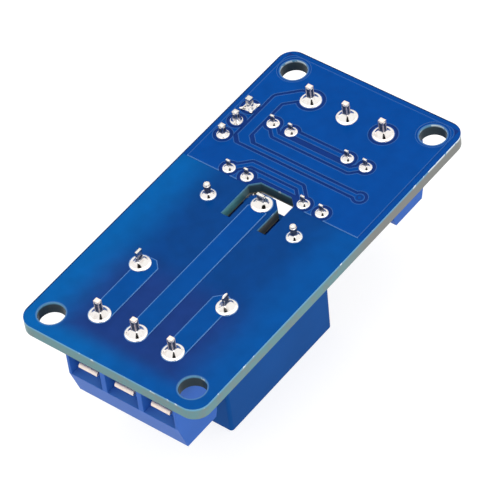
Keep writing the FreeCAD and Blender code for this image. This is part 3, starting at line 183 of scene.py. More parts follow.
@dataclass(frozen=True)
class MouldedPlastic(Finish):
    """Injection-moulded thermoplastic with a satin, finely eroded surface."""

    colour: str
    roughness: float = 0.42
    gloss: float = 0.2
    ior: float = 1.5
    cloud: float = 5.0
    variation: float = 0.06
    # The mould's grain is near 0.03 mm on the real part, and is drawn coarser so that it shows
    grain: float = 0.12
    depth: float = 0.004

    def paint(self, tree: Tree, shader: Node, place: Socket) -> None:
        """Gives a satin skin: the eroded mould leaves a fine grain, and the flow leaves faint clouds of tone.

        Args:
            tree: the material's node tree.
            shader: its Principled shader.
            place: the point's place in the model's frame, in metres.
        """
        shader.inputs["Roughness"].default_value = self.roughness
        shader.inputs["IOR"].default_value = self.ior
        shader.inputs["Specular IOR Level"].default_value = self.gloss
        clouds = add_node(tree, "ShaderNodeTexNoise",
                          {"Vector": place, "Scale": per_mm(self.cloud), "Detail": 2.0})
        base = self.mottle(tree, clouds.outputs[0], linear(self.colour), self.variation)
        tree.links.new(base, shader.inputs["Base Color"])
        grain = add_node(tree, "ShaderNodeTexNoise",
                         {"Vector": place, "Scale": per_mm(self.grain), "Detail": 1.0})
        self.relief(tree, shader, grain.outputs[0], self.depth)


@dataclass(frozen=True)
class BlockPlastic(MouldedPlastic):
    """Moulded plastic of a terminal block with open wire windows."""

    # Colour of the painted highlight on faces that look up, standing in for light on the window shelves
    painted_shelf_highlight: str = "#4C84D8"
    # How far a face must look up to get the painted highlight
    upward: Span = (0.6, 0.8)

    def paint(self, tree: Tree, shader: Node, place: Socket) -> None:
        """Gives the satin skin, with a painted highlight on every face that looks up, standing in for the light on
        the shelves in the wire windows.

        Args:
            tree: the material's node tree.
            shader: its Principled shader.
            place: the point's place in the model's frame, in metres.
        """
        super().paint(tree, shader, place)
        base = shader.inputs["Base Color"].links[0].from_socket
        normal = add_node(tree, "ShaderNodeNewGeometry").outputs["True Normal"]
        facing = add_node(tree, "ShaderNodeSeparateXYZ", [normal])
        # Painted highlight: faces that look up get the paler colour
        painted_highlight_share = add_node(tree, "ShaderNodeMapRange", [facing.outputs[2], *self.upward])
        mixed = add_node(tree, "ShaderNodeMix",
                         {SHARE: painted_highlight_share.outputs[0], FIRST: base, SECOND: linear(self.painted_shelf_highlight)}, data_type="RGBA")
        tree.links.new(mixed.outputs[MIXED], shader.inputs["Base Color"])


@dataclass(frozen=True)
class PlatedMetal(Finish):
    """Sheet or bar metal with a thin plating, drawn or rolled along one axis."""

    colour: str
    roughness: float = 0.3
    # Shares of the roughness between which it varies
    roughness_span: Span = (0.8, 1.25)
    streak: Point = (0.15, 0.15, 2.0)
    variation: float = 0.1
    depth: float = 0.003

    def paint(self, tree: Tree, shader: Node, place: Socket) -> None:
        """Gives a soft metallic shine: rolling leaves fine streaks, and the plating varies in gloss along them.

        Args:
            tree: the material's node tree.
            shader: its Principled shader.
            place: the point's place in the model's frame, in metres.
        """
        shader.inputs["Metallic"].default_value = 1.0
        stretch = add_node(tree, "ShaderNodeMapping",
                           {"Vector": place, "Scale": tuple(map(per_mm, self.streak))})
        streaks = add_node(tree, "ShaderNodeTexNoise",
                           {"Vector": stretch.outputs[0], "Scale": 1.0, "Detail": 2.0})
        base = self.mottle(tree, streaks.outputs[0], linear(self.colour), self.variation)
        tree.links.new(base, shader.inputs["Base Color"])
        roughness = add_node(tree, "ShaderNodeMapRange",
                             [streaks.outputs[0], *NOISE_SPAN, *(self.roughness * s for s in self.roughness_span)])
        tree.links.new(roughness.outputs[0], shader.inputs["Roughness"])
        self.relief(tree, shader, streaks.outputs[0], self.depth)


@dataclass(frozen=True)
class BrightSolder(Finish):
    """Tin-lead solder that froze bright, with faint flux stains."""

    colour: str = "#F2EEEA"
    stain: str = "#C9B3A2"
    # Slate of the painted reflection of the board on the pins' upright faces
    painted_board_reflection: str = "#5A6678"
    roughness: float = 0.07
    patch: float = 0.7
    # The noise values between which a patch turns into a stain or dulls, and how far it goes
    stain_span: Span = (0.52, 0.75)
    stain_share: float = 0.4
    dull_span: Span = (0.5, 0.75)
    dulling: float = 0.15
    # The pins' upright faces, which get a painted reflection of the dark board: how far they look up, the heights
    # over which they begin, and how dull they are
    upright: Span = (0.55, 0.25)
    shank_foot: Span = (17.05, 17.3)
    shank_dulling: float = 0.35
    ripple: float = 0.6
    depth: float = 0.008

    def paint(self, tree: Tree, shader: Node, place: Socket) -> None:
        """Gives a mirror-like skin, dulled in patches where flux dried, and a slate painted reflection of the board
        on the pins' upright faces.

        Args:
            tree: the material's node tree.
            shader: its Principled shader.
            place: the point's place in the model's frame, in metres.
        """
        shader.inputs["Metallic"].default_value = 1.0
        patches = add_node(tree, "ShaderNodeTexNoise",
                           {"Vector": place, "Scale": per_mm(self.patch), "Detail": 3.0})
        stained = add_node(tree, "ShaderNodeMapRange",
                           [patches.outputs[0], *self.stain_span, 0.0, self.stain_share])
        base = add_node(tree, "ShaderNodeMix",
                        {SHARE: stained.outputs[0], FIRST: linear(self.colour), SECOND: linear(self.stain)},
                        data_type="RGBA")
        normal = add_node(tree, "ShaderNodeNewGeometry").outputs["Normal"]
        facing = add_node(tree, "ShaderNodeSeparateXYZ", [normal])
        upright = add_node(tree, "ShaderNodeMapRange", [facing.outputs[2], *self.upright])
        height = add_node(tree, "ShaderNodeSeparateXYZ", [place]).outputs[2]
        above = add_node(tree, "ShaderNodeMapRange", [height, *metres(self.shank_foot)])
        on_shank = add_node(tree, "ShaderNodeMath", [upright.outputs[0], above.outputs[0]], operation="MULTIPLY")
        # Painted reflection of the dark board on the pins' upright faces
        wetted = add_node(tree, "ShaderNodeMix",
                          {SHARE: on_shank.outputs[0], FIRST: base.outputs[MIXED], SECOND: linear(self.painted_board_reflection)},
                          data_type="RGBA")
        tree.links.new(wetted.outputs[MIXED], shader.inputs["Base Color"])
        dull = add_node(tree, "ShaderNodeMapRange",
                        [patches.outputs[0], *self.dull_span, self.roughness, self.roughness + self.dulling])
        dulled = add_node(tree, "ShaderNodeMath", [on_shank.outputs[0], self.shank_dulling, dull.outputs[0]],
                          operation="MULTIPLY_ADD")
        tree.links.new(dulled.outputs[0], shader.inputs["Roughness"])
        ripples = add_node(tree, "ShaderNodeTexNoise",
                           {"Vector": place, "Scale": per_mm(self.ripple), "Detail": 1.0})
        self.relief(tree, shader, ripples.outputs[0], self.depth)


@dataclass(frozen=True)
class EpoxyPackage(Finish):
    """Transfer-moulded epoxy of a component body."""

    colour: str
    roughness: float = 0.55
    ior: float = 1.55
    # The filler's grains are near 0.05 mm on the real part, and are drawn coarser so that they show
    filler: float = 0.18
    variation: float = 0.15
    depth: float = 0.008

    def paint(self, tree: Tree, shader: Node, place: Socket) -> None:
        """Gives a dull, slightly pitted skin: the filler in the epoxy shows as a fine speckle.

        Args:
            tree: the material's node tree.
            shader: its Principled shader.
            place: the point's place in the model's frame, in metres.
        """
        shader.inputs["Roughness"].default_value = self.roughness
        shader.inputs["IOR"].default_value = self.ior
        filler = add_node(tree, "ShaderNodeTexNoise",
                          {"Vector": place, "Scale": per_mm(self.filler), "Detail": 2.0})
        base = self.mottle(tree, filler.outputs[0], linear(self.colour), self.variation)
        tree.links.new(base, shader.inputs["Base Color"])
        self.relief(tree, shader, filler.outputs[0], self.depth)


@dataclass(frozen=True)
class WoundWire(Finish):
    """Enamelled copper wire wound in layers about the model's vertical axis."""

    colour: str = "#A8501F"
    # Painted shade in the groove between turns
    groove_shade: str = "#4A1F0C"
    roughness: float = 0.35
    # The wire is near 0.07 mm on the real part, and is drawn coarser so that its turns show
    turn: float = 0.7854
    waver: float = 0.2
    depth: float = 0.05

    def paint(self, tree: Tree, shader: Node, place: Socket) -> None:
        """Gives stacked turns: each turn of the wire shows as one shining band with painted shade in the groove
        beside it.

        Args:
            tree: the material's node tree.
            shader: its Principled shader.
            place: the point's place in the model's frame, in metres.
        """
        shader.inputs["Metallic"].default_value = 1.0
        shader.inputs["Roughness"].default_value = self.roughness
        # A wave texture of scale one repeats at every pi tenths
        turns = add_node(tree, "ShaderNodeTexWave",
                         {"Vector": place, "Scale": per_mm(self.turn) * math.pi / 10, "Distortion": self.waver},
                         bands_direction="Z")
        # Painted shade in the grooves between the turns
        base = add_node(tree, "ShaderNodeMix",
                        {SHARE: turns.outputs[1], FIRST: linear(self.groove_shade), SECOND: linear(self.colour)},
                        data_type="RGBA")
        tree.links.new(base.outputs[MIXED], shader.inputs["Base Color"])
        self.relief(tree, shader, turns.outputs[1], self.depth)


@dataclass(frozen=True)
class SolderMask(Finish):
    """Blue liquid solder mask, cured to a gloss with a faint orange peel."""

    roughness: float = 0.22
    gloss: float = 0.03
    ior: float = 1.52
    peel: float = 0.8
    depth: float = 0.006

    def paint(self, tree: Tree, shader: Node, place: Socket) -> None:
        """Gives a glossy skin with shallow waves, over the tone that lies under it.

        Args:
            tree: the material's node tree.
            shader: its Principled shader.
            place: the point's place in the model's frame, in metres.
        """
        shader.inputs["Roughness"].default_value = self.roughness
        shader.inputs["IOR"].default_value = self.ior
        shader.inputs["Specular IOR Level"].default_value = self.gloss
        tree.links.new(self.tone(tree, place), shader.inputs["Base Color"])
        peel = add_node(tree, "ShaderNodeTexNoise", {"Vector": place, "Scale": per_mm(self.peel), "Detail": 2.0})
        self.relief(tree, shader, peel.outputs[0], self.depth)

    def tone(self, tree: Tree, place: Socket) -> Socket:
        """Mixes the colour.

        Args:
            tree: the material's node tree.
            place: the point's place in the model's frame, in metres.

        Returns:
            The colour socket.
        """
        raise NotImplementedError


@dataclass(frozen=True)
class MaskedCopper(SolderMask):
    """Copper foil under solder mask."""

    mask: str = "#004492"
    mask_left: str = "#004890"
    # Colour of the painted highlight over the foil's step
    edge: str = "#6C9CD4"
    # Colour of the painted shade in the via's dimple
    ring: str = "#13306C"
    # Where the mask's tone changes along the board
    leftward: Span = (4.0, -18.0)
    cloud: float = 1.6
    variation: float = 0.07
    # The painted highlight over the foil's step: its width, the facing over which it comes in, and its strength on
    # the contact tracks and on the pour
    edge_width: float = 0.24
    edge_facing: Span = (0.99, 0.8)
    edge_strength: Span = (0.8, 0.28)
    pour_edge: Span = (4.85, 4.95)
    # The painted shade in the ring-shaped dimple in the mask over the via
    via_place: Point = (9.79, -8.5, 16.66)
    via_ring: float = 0.3
    via_fade: Span = (0.15, 0.03)
    via_share: float = 0.7

    def tone(self, tree: Tree, place: Socket) -> Socket:
        """Mixes an even blue over the foil, with a painted highlight where the mask slopes over the foil's step,
        and painted shade in the via's dimple.

        Args:
            tree: the material's node tree.
            place: the point's place in the model's frame, in metres.

        Returns:
            The colour socket.
        """
        x = add_node(tree, "ShaderNodeSeparateXYZ", [place]).outputs[0]
        leftward = add_node(tree, "ShaderNodeMapRange", [x, *metres(self.leftward)])
        blue = add_node(tree, "ShaderNodeMix",
                        {SHARE: leftward.outputs[0], FIRST: linear(self.mask), SECOND: linear(self.mask_left)},
                        data_type="RGBA")
        clouds = add_node(tree, "ShaderNodeTexNoise",
                          {"Vector": place, "Scale": per_mm(self.cloud), "Detail": 4.0})
        mottled = self.mottle(tree, clouds.outputs[0], blue.outputs[MIXED], self.variation)
        # Painted highlight where the mask slopes over the foil's step
        bevel = add_node(tree, "ShaderNodeBevel", {"Radius": self.edge_width * MM}, samples=8)
        rounded = add_node(tree, "ShaderNodeSeparateXYZ", [bevel.outputs[0]])
        highlight_strength = add_node(tree, "ShaderNodeMapRange", [x, *metres(self.pour_edge), *self.edge_strength])
        step = add_node(tree, "ShaderNodeMapRange",
                        [rounded.outputs[2], *self.edge_facing, 0.0, highlight_strength.outputs[0]])
        highlighted = add_node(tree, "ShaderNodeMix",
                         {SHARE: step.outputs[0], FIRST: mottled, SECOND: linear(self.edge)}, data_type="RGBA")
        # Painted shade in the ring-shaped dimple over the via
        from_via = add_node(tree, "ShaderNodeVectorMath", [place, metres(self.via_place)], operation="DISTANCE")
        off_ring = add_node(tree, "ShaderNodeMath", [from_via.outputs["Value"], self.via_ring * MM],
                            operation="SUBTRACT")
        ring = add_node(tree, "ShaderNodeMath", [off_ring.outputs[0]], operation="ABSOLUTE")
        dimple_shade = add_node(tree, "ShaderNodeMapRange",
                          [ring.outputs[0], *metres(self.via_fade), 0.0, self.via_share])
        return add_node(tree, "ShaderNodeMix",
                        {SHARE: dimple_shade.outputs[0], FIRST: highlighted.outputs[MIXED], SECOND: linear(self.ring)},
                        data_type="RGBA").outputs[MIXED]


@dataclass(frozen=True)
class MaskedLaminate(SolderMask):
    """Glass-fibre laminate under solder mask, bare where it was routed and drilled."""

    # The board's outline and its mounting holes
    half_length: float = 24.75
    half_width: float = 12.6
    thickness: Span = (15.0, 16.6)
    hole_place: Place = (22.0, 9.78)
    hole_radius: float = 1.6
    # The mask's painted tones: painted shade in front of the relay and of a terminal block, and painted light where
    # light comes through on either side
    over_parts: str = "#053E80"
    over_blocks: str = "#183778"
    clear: str = "#00589F"
    clear_far: str = "#004C95"
    beside_parts: Span = (5.5, 11.5)
    beyond_parts: Span = (-21.0, -24.0)
    blocks_begin: Span = (-8.0, -13.0)
    far_to_near: Span = (-4.0, 4.0)
    # The bare channels between the pour's tracks, and the mask outside the pour
    channel: str = "#103378"
    pour_mask: str = "#004492"
    pour_edge: float = 4.75
    pour_inset: float = 0.7
    hole_margin: float = 1.95
    # The pale ring round a mounting hole and the darker band along the far edges, from the rim or edge inward
    ring: str = "#6590B4"
    ring_width: Span = (0.2, 0.06)
    ring_share: float = 0.6
    far_edge_dark_band: str = "#0A295C"
    brink: Span = (-0.2, -0.1)
    cloud: float = 1.8
    variation: float = 0.08
    # The cut laminate along the outline, with warmer patches toward the input end
    wall: str = "#65888C"
    wall_warm: str = "#7C7A76"
    patch: float = 1.1
    warm_span: Span = (0.45, 0.7)
    warm_share: float = 0.5
    inward: Span = (0.0, 6.0)
    inward_share: float = 0.9
    outline_depth: float = 1.0
    # The cut laminate in the holes, darkened as painted shade, and in the isolation slot, lightened on its legs as
    # painted light, one leg greener than the other, and darkened on its end as painted shade, with a pale tan band
    # at the walls' foot
    hole_wall_painted_shade: str = "#37444C"
    slot_leg_teal_painted_light: str = "#70AEB4"
    slot_leg_grey_painted_light: str = "#6A6E6E"
    slot_end_painted_shade: str = "#3F555F"
    slot_half: Place = (7.0, 3.4)
    slot_legs: Span = (0.0, 2.6)
    slot_end: Span = (2.0, 5.0)
    slot_foot_tan: str = "#9A917C"
    slot_foot_height: Span = (0.25, 0.12)
    # A painted highlight along the lip under the mask, with white chips where the noise passes a limit that falls
    # toward the input end
    # Colour of the painted highlight along the lip
    rim: str = "#669DBE"
    chip: str = "#D0E0EA"
    lip_height: Span = (-0.36, -0.12)
    chip_place: Span = (13.0, 16.0)
    chip_limit: Span = (0.64, 0.42)
    chip_fade: float = 0.03

    def tone(self, tree: Tree, place: Socket) -> Socket:
        """Mixes the mask's blue with painted light where light comes through the laminate and painted shade where
        parts lie behind it, and pale green laminate, with painted light and shade, on every cut wall.

        Args:
            tree: the material's node tree.
            place: the point's place in the model's frame, in metres.

        Returns:
            The colour socket.
        """
        normal = add_node(tree, "ShaderNodeNewGeometry").outputs["True Normal"]
        facing = add_node(tree, "ShaderNodeSeparateXYZ", [normal])
        flat = add_node(tree, "ShaderNodeMath", [facing.outputs[2]], operation="ABSOLUTE")
        is_wall = add_node(tree, "ShaderNodeMath", [flat.outputs[0], 0.5], operation="LESS_THAN")
        x, y, z = add_node(tree, "ShaderNodeSeparateXYZ", [place]).outputs
        along = add_node(tree, "ShaderNodeMath", [x], operation="ABSOLUTE").outputs[0]
        across = add_node(tree, "ShaderNodeMath", [y], operation="ABSOLUTE").outputs[0]
        patches = add_node(tree, "ShaderNodeTexNoise",
                           {"Vector": place, "Scale": per_mm(self.patch), "Detail": 3.0}).outputs[0]
        from_hole = self.hole_distance(tree, along, across)
        mask = self.bare_mask(tree, x, y, across)
        pour = self.pour_mask_tone(tree, x, across, from_hole)
        mask = self.mask_marks(tree, x, y, self.under_mask(tree, x, mask, pour, place), from_hole)
        wall = self.cut_wall(tree, x, along, across, patches)
        slot = self.slot_wall(tree, x, y, z)
        wall = self.lipped_wall(tree, x, z, self.in_slot(tree, along, across, wall, slot), patches)
        return add_node(tree, "ShaderNodeMix", {SHARE: is_wall.outputs[0], FIRST: mask, SECOND: wall},
                        data_type="RGBA").outputs[MIXED]

    def hole_distance(self, tree: Tree, along: Socket, across: Socket) -> Socket:
        """Measures the distance from the nearest mounting hole's axis.

        Args:
            tree: the material's node tree.
            along: the distance from the board's middle along it.
            across: the distance from the board's middle across it.

        Returns:
            The distance socket.
        """
        corner = add_node(tree, "ShaderNodeCombineXYZ", [along, across])
        return add_node(tree, "ShaderNodeVectorMath", [corner.outputs[0], (*metres(self.hole_place), 0.0)],
                        operation="DISTANCE").outputs["Value"]

    def bare_mask(self, tree: Tree, x: Socket, y: Socket, across: Socket) -> Socket:
        """Mixes the mask's blue on the output half, with painted light where light comes through the laminate and
        painted shade where parts lie behind it.

        Args:
            tree: the material's node tree.
            x: the place along the board.
            y: the place across the board.
            across: the distance from the board's middle across it.

        Returns:
            The colour socket.
        """
        # Painted light on the mask where no part lies behind the laminate
        beside = add_node(tree, "ShaderNodeMapRange", [across, *metres(self.beside_parts)],
                          interpolation_type="SMOOTHSTEP")
        beyond = add_node(tree, "ShaderNodeMapRange", [x, *metres(self.beyond_parts)],
                          interpolation_type="SMOOTHSTEP")
        lit = add_node(tree, "ShaderNodeMath", [beside.outputs[0], beyond.outputs[0]], operation="MAXIMUM")
        blocks = add_node(tree, "ShaderNodeMapRange", [x, *metres(self.blocks_begin)],
                          interpolation_type="SMOOTHSTEP")
        # Painted shade where the relay or a terminal block lies behind the laminate
        behind = add_node(tree, "ShaderNodeMix",
                          {SHARE: blocks.outputs[0], FIRST: linear(self.over_parts),
                           SECOND: linear(self.over_blocks)}, data_type="RGBA")
        near = add_node(tree, "ShaderNodeMapRange", [y, *metres(self.far_to_near)])
        clear = add_node(tree, "ShaderNodeMix",
                         {SHARE: near.outputs[0], FIRST: linear(self.clear_far), SECOND: linear(self.clear)},
                         data_type="RGBA")
        return add_node(tree, "ShaderNodeMix",
                        {SHARE: lit.outputs[0], FIRST: behind.outputs[MIXED], SECOND: clear.outputs[MIXED]},
                        data_type="RGBA").outputs[MIXED]

    def pour_mask_tone(self, tree: Tree, x: Socket, across: Socket, from_hole: Socket) -> Socket:
        """Mixes the mask's blue between and outside the copper of the input half.

        Args:
            tree: the material's node tree.
            x: the place along the board.
            across: the distance from the board's middle across it.
            from_hole: the distance from the nearest mounting hole's axis.

        Returns:
            The colour socket.
        """
        in_width = add_node(tree, "ShaderNodeMath", [across, (self.half_width - self.pour_inset) * MM],
                            operation="LESS_THAN")
        in_length = add_node(tree, "ShaderNodeMath", [x, (self.half_length - self.pour_inset) * MM],
                             operation="LESS_THAN")
        inside = add_node(tree, "ShaderNodeMath", [in_width.outputs[0], in_length.outputs[0]],
                          operation="MULTIPLY")
        off_hole = add_node(tree, "ShaderNodeMath", [from_hole, self.hole_margin * MM], operation="GREATER_THAN")
        channel = add_node(tree, "ShaderNodeMath", [inside.outputs[0], off_hole.outputs[0]],
                           operation="MULTIPLY")
        return add_node(tree, "ShaderNodeMix",
                        {SHARE: channel.outputs[0], FIRST: linear(self.pour_mask), SECOND: linear(self.channel)},
                        data_type="RGBA").outputs[MIXED]

    def under_mask(self, tree: Tree, x: Socket, bare: Socket, pour: Socket, place: Socket) -> Socket:
        """Joins the two halves of the board and clouds them.

        Args:
            tree: the material's node tree.
            x: the place along the board.
            bare: the colour of the output half.
            pour: the colour of the input half.
            place: the whole place.

        Returns:
            The colour socket.
        """
        in_pour = add_node(tree, "ShaderNodeMath", [x, self.pour_edge * MM], operation="GREATER_THAN")
        blue = add_node(tree, "ShaderNodeMix", {SHARE: in_pour.outputs[0], FIRST: bare, SECOND: pour},
                        data_type="RGBA")
        clouds = add_node(tree, "ShaderNodeTexNoise",
                          {"Vector": place, "Scale": per_mm(self.cloud), "Detail": 4.0})
        return self.mottle(tree, clouds.outputs[0], blue.outputs[MIXED], self.variation)

    def mask_marks(self, tree: Tree, x: Socket, y: Socket, blue: Socket, from_hole: Socket) -> Socket:
        """Adds the pale rings round the mounting holes and the darker band along the far edges.

        Args:
            tree: the material's node tree.
            x: the place along the board.
            y: the place across the board.
            blue: the mask's colour.
            from_hole: the distance from the nearest mounting hole's axis.

        Returns:
            The colour socket.
        """
        ring = add_node(tree, "ShaderNodeMapRange",
                        [from_hole, *metres(self.ring_width, self.hole_radius), 0.0, self.ring_share])
        ringed = add_node(tree, "ShaderNodeMix",
                          {SHARE: ring.outputs[0], FIRST: blue, SECOND: linear(self.ring)}, data_type="RGBA")
        beyond_y = add_node(tree, "ShaderNodeMapRange", [y, *metres(self.brink, self.half_width)])
        beyond_x = add_node(tree, "ShaderNodeMapRange", [x, *metres(self.brink, self.half_length)])
        brink = add_node(tree, "ShaderNodeMath", [beyond_x.outputs[0], beyond_y.outputs[0]],
                         operation="MAXIMUM")
        return add_node(tree, "ShaderNodeMix",
                        {SHARE: brink.outputs[0], FIRST: ringed.outputs[MIXED], SECOND: linear(self.far_edge_dark_band)},
                        data_type="RGBA").outputs[MIXED]

    def cut_wall(self, tree: Tree, x: Socket, along: Socket, across: Socket, patches: Socket) -> Socket:
        """Mixes the laminate's tone on cut walls: pale on the outline and darkened in the holes as painted shade.

        Args:
            tree: the material's node tree.
            x: the place along the board.
            along: the distance from the board's middle along it.
            across: the distance from the board's middle across it.
            patches: the noise of the patches.

        Returns:
            The colour socket.
        """
        patchy = add_node(tree, "ShaderNodeMapRange", [patches, *self.warm_span, 0.0, self.warm_share])
        inward = add_node(tree, "ShaderNodeMapRange", [x, *metres(self.inward), 0.0, self.inward_share])
        warm = add_node(tree, "ShaderNodeMath", [patchy.outputs[0], inward.outputs[0]], operation="MAXIMUM")
        outer = add_node(tree, "ShaderNodeMix",
                         {SHARE: warm.outputs[0], FIRST: linear(self.wall), SECOND: linear(self.wall_warm)},
                         data_type="RGBA")
        inside_x = add_node(tree, "ShaderNodeMath", [along, (self.half_length - self.outline_depth) * MM],
                            operation="LESS_THAN")
        inside_y = add_node(tree, "ShaderNodeMath", [across, (self.half_width - self.outline_depth) * MM],
                            operation="LESS_THAN")
        inside = add_node(tree, "ShaderNodeMath", [inside_x.outputs[0], inside_y.outputs[0]],
                          operation="MULTIPLY")
        # Painted shade on the walls of the holes
        return add_node(tree, "ShaderNodeMix",
                        {SHARE: inside.outputs[0], FIRST: outer.outputs[MIXED], SECOND: linear(self.hole_wall_painted_shade)},
                        data_type="RGBA").outputs[MIXED]

    def slot_wall(self, tree: Tree, x: Socket, y: Socket, z: Socket) -> Socket:
        """Mixes the tone of the isolation slot's walls, with painted light on the legs, painted shade on the end,
        and a pale tan band at their foot.

        Args:
            tree: the material's node tree.
            x: the place along the board.
            y: the place across the board.
            z: the height.

        Returns:
            The colour socket.
        """
        sideways = add_node(tree, "ShaderNodeMapRange", [y, *metres(self.slot_legs)])
        # Painted light on the slot's legs
        legs = add_node(tree, "ShaderNodeMix",
                        {SHARE: sideways.outputs[0], FIRST: linear(self.slot_leg_grey_painted_light),
                         SECOND: linear(self.slot_leg_teal_painted_light)}, data_type="RGBA")
        at_end = add_node(tree, "ShaderNodeMapRange", [x, *metres(self.slot_end)])
        # Painted shade on the slot's end
        slot = add_node(tree, "ShaderNodeMix",
                        {SHARE: at_end.outputs[0], FIRST: legs.outputs[MIXED],
                         SECOND: linear(self.slot_end_painted_shade)}, data_type="RGBA")
        # A pale tan band at the foot of the slot's walls
        slot_foot_band = add_node(tree, "ShaderNodeMapRange", [z, *metres(self.slot_foot_height, self.thickness[0])])
        return add_node(tree, "ShaderNodeMix",
                        {SHARE: slot_foot_band.outputs[0], FIRST: slot.outputs[MIXED], SECOND: linear(self.slot_foot_tan)},
                        data_type="RGBA").outputs[MIXED]

    def in_slot(self, tree: Tree, along: Socket, across: Socket, wall: Socket, slot: Socket) -> Socket:
        """Chooses between the slot's walls and all other cut walls.

        Args:
            tree: the material's node tree.
            along: the distance from the board's middle along it.
            across: the distance from the board's middle across it.
            wall: the colour of the other walls.
            slot: the colour of the slot's walls.

        Returns:
            The colour socket.
        """
        slot_x, slot_y = metres(self.slot_half)
        in_x = add_node(tree, "ShaderNodeMath", [along, slot_x], operation="LESS_THAN")
        in_y = add_node(tree, "ShaderNodeMath", [across, slot_y], operation="LESS_THAN")
        inside = add_node(tree, "ShaderNodeMath", [in_x.outputs[0], in_y.outputs[0]], operation="MULTIPLY")
        return add_node(tree, "ShaderNodeMix", {SHARE: inside.outputs[0], FIRST: wall, SECOND: slot},
                        data_type="RGBA").outputs[MIXED]

    def lipped_wall(self, tree: Tree, x: Socket, z: Socket, wall: Socket, patches: Socket) -> Socket:
        """Adds a painted highlight along the lip under the mask, with white chips in it.

        Args:
            tree: the material's node tree.
            x: the place along the board.
            z: the height.
            wall: the wall's colour.
            patches: the noise of the chips.

        Returns:
            The colour socket.
        """
        limit = add_node(tree, "ShaderNodeMapRange", [x, *metres(self.chip_place), *self.chip_limit])
        excess = add_node(tree, "ShaderNodeMath", [patches, limit.outputs[0]], operation="SUBTRACT")
        chipped = add_node(tree, "ShaderNodeMapRange", [excess.outputs[0], 0.0, self.chip_fade])
        # Painted highlight along the lip, with real white chips in it
        rim = add_node(tree, "ShaderNodeMix",
                       {SHARE: chipped.outputs[0], FIRST: linear(self.rim), SECOND: linear(self.chip)},
                       data_type="RGBA")
        lip = add_node(tree, "ShaderNodeMapRange", [z, *metres(self.lip_height, self.thickness[1])])
        return add_node(tree, "ShaderNodeMix",
                        {SHARE: lip.outputs[0], FIRST: wall, SECOND: rim.outputs[MIXED]},
                        data_type="RGBA").outputs[MIXED]


SOLDER = BrightSolder("bright_tin_lead_solder")
BOARD = MaskedLaminate("blue_masked_laminate")
COPPER = MaskedCopper("blue_masked_copper")
BLOCK_PLASTIC = BlockPlastic("moulded_blue_polyamide", "#2A5DAF", gloss=0.1)
CASE_PLASTIC = MouldedPlastic("moulded_blue_polyester", "#0C4789", roughness=0.36, gloss=0.02)
BASE_PLASTIC = MouldedPlastic("moulded_dark_blue_polyester", "#1B3C78", roughness=0.5)
BOBBIN_PLASTIC = MouldedPlastic("moulded_black_polyamide", "#22262B", roughness=0.5)
HEADER_PLASTIC = MouldedPlastic("moulded_black_header_plastic", "#17181A", roughness=0.45)
JUMPER_PLASTIC = MouldedPlastic("moulded_yellow_polyester", "#C8A21E", roughness=0.45)
CLAMP_TIN = PlatedMetal("tin_plated_brass", "#F0E2D8", roughness=0.55)
SCREW_ZINC = PlatedMetal("zinc_plated_steel", "#C9CCCF", roughness=0.28)
PIN_TIN = PlatedMetal("tinned_copper_alloy", "#D8D4CC", roughness=0.25)
CORE_IRON = PlatedMetal("nickel_plated_iron", "#A7A8A8", roughness=0.38)
SPRING_BRONZE = PlatedMetal("rolled_phosphor_bronze", "#BE8B57", roughness=0.32)
CONTACT_SILVER = PlatedMetal("silver_contact_alloy", "#DCDCD8", roughness=0.22)
WINDING = WoundWire("enamelled_copper_wire")
PALE_EPOXY = EpoxyPackage("off_white_epoxy", "#E4E1D8")
BLACK_EPOXY = EpoxyPackage("black_epoxy", "#1C1C1D")
LAMP_EPOXY = EpoxyPackage("milky_lamp_epoxy", "#F0EDE4", roughness=0.3)
CHIP_GLAZE = EpoxyPackage("black_resistor_glaze", "#1B1C1E", roughness=0.3)


def dress(finish: Finish, *nodes: str) -> None:
    """Gives CAD nodes a finish and leaves their shapes alone.

    Args:
        finish: the finish that they get.
        nodes: the nodes' names.
    """
    material = finish.material()
    for name in nodes:
        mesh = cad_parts[name].data
        mesh.materials.clear()
        mesh.materials.append(material)
        LOG.info("dressed %s in %s", name, finish.name)


def new_piece(name: str, vertices: list[Point], faces: list[tuple[int, ...]], finish: Finish) -> bpy.types.Object:
    """Makes one mesh piece from points in millimetres.

    Args:
        name: the piece's name.
        vertices: its points.
        faces: the numbers of each face's points.
        finish: its finish.

    Returns:
        The new object, in the model's frame.
    """
    mesh = bpy.data.meshes.new(name)
    mesh.from_pydata([Vector(point) * MM for point in vertices], [], faces)
    mesh.materials.append(finish.material())
    piece = bpy.data.objects.new(name, mesh)
    bpy.context.collection.objects.link(piece)
    return piece


# Solder side

class PinCut(Enum):
    """The form of a pin's cross-section, as the power of its superellipse."""

    SQUARE = 3.4
    ROUND = 2.0


@dataclass(frozen=True)
class Pin:
    """A pin in its hole: half its sizes along and across the board, its reach above the board and its form."""

    half: Span
    reach: float
    cut: PinCut = PinCut.SQUARE


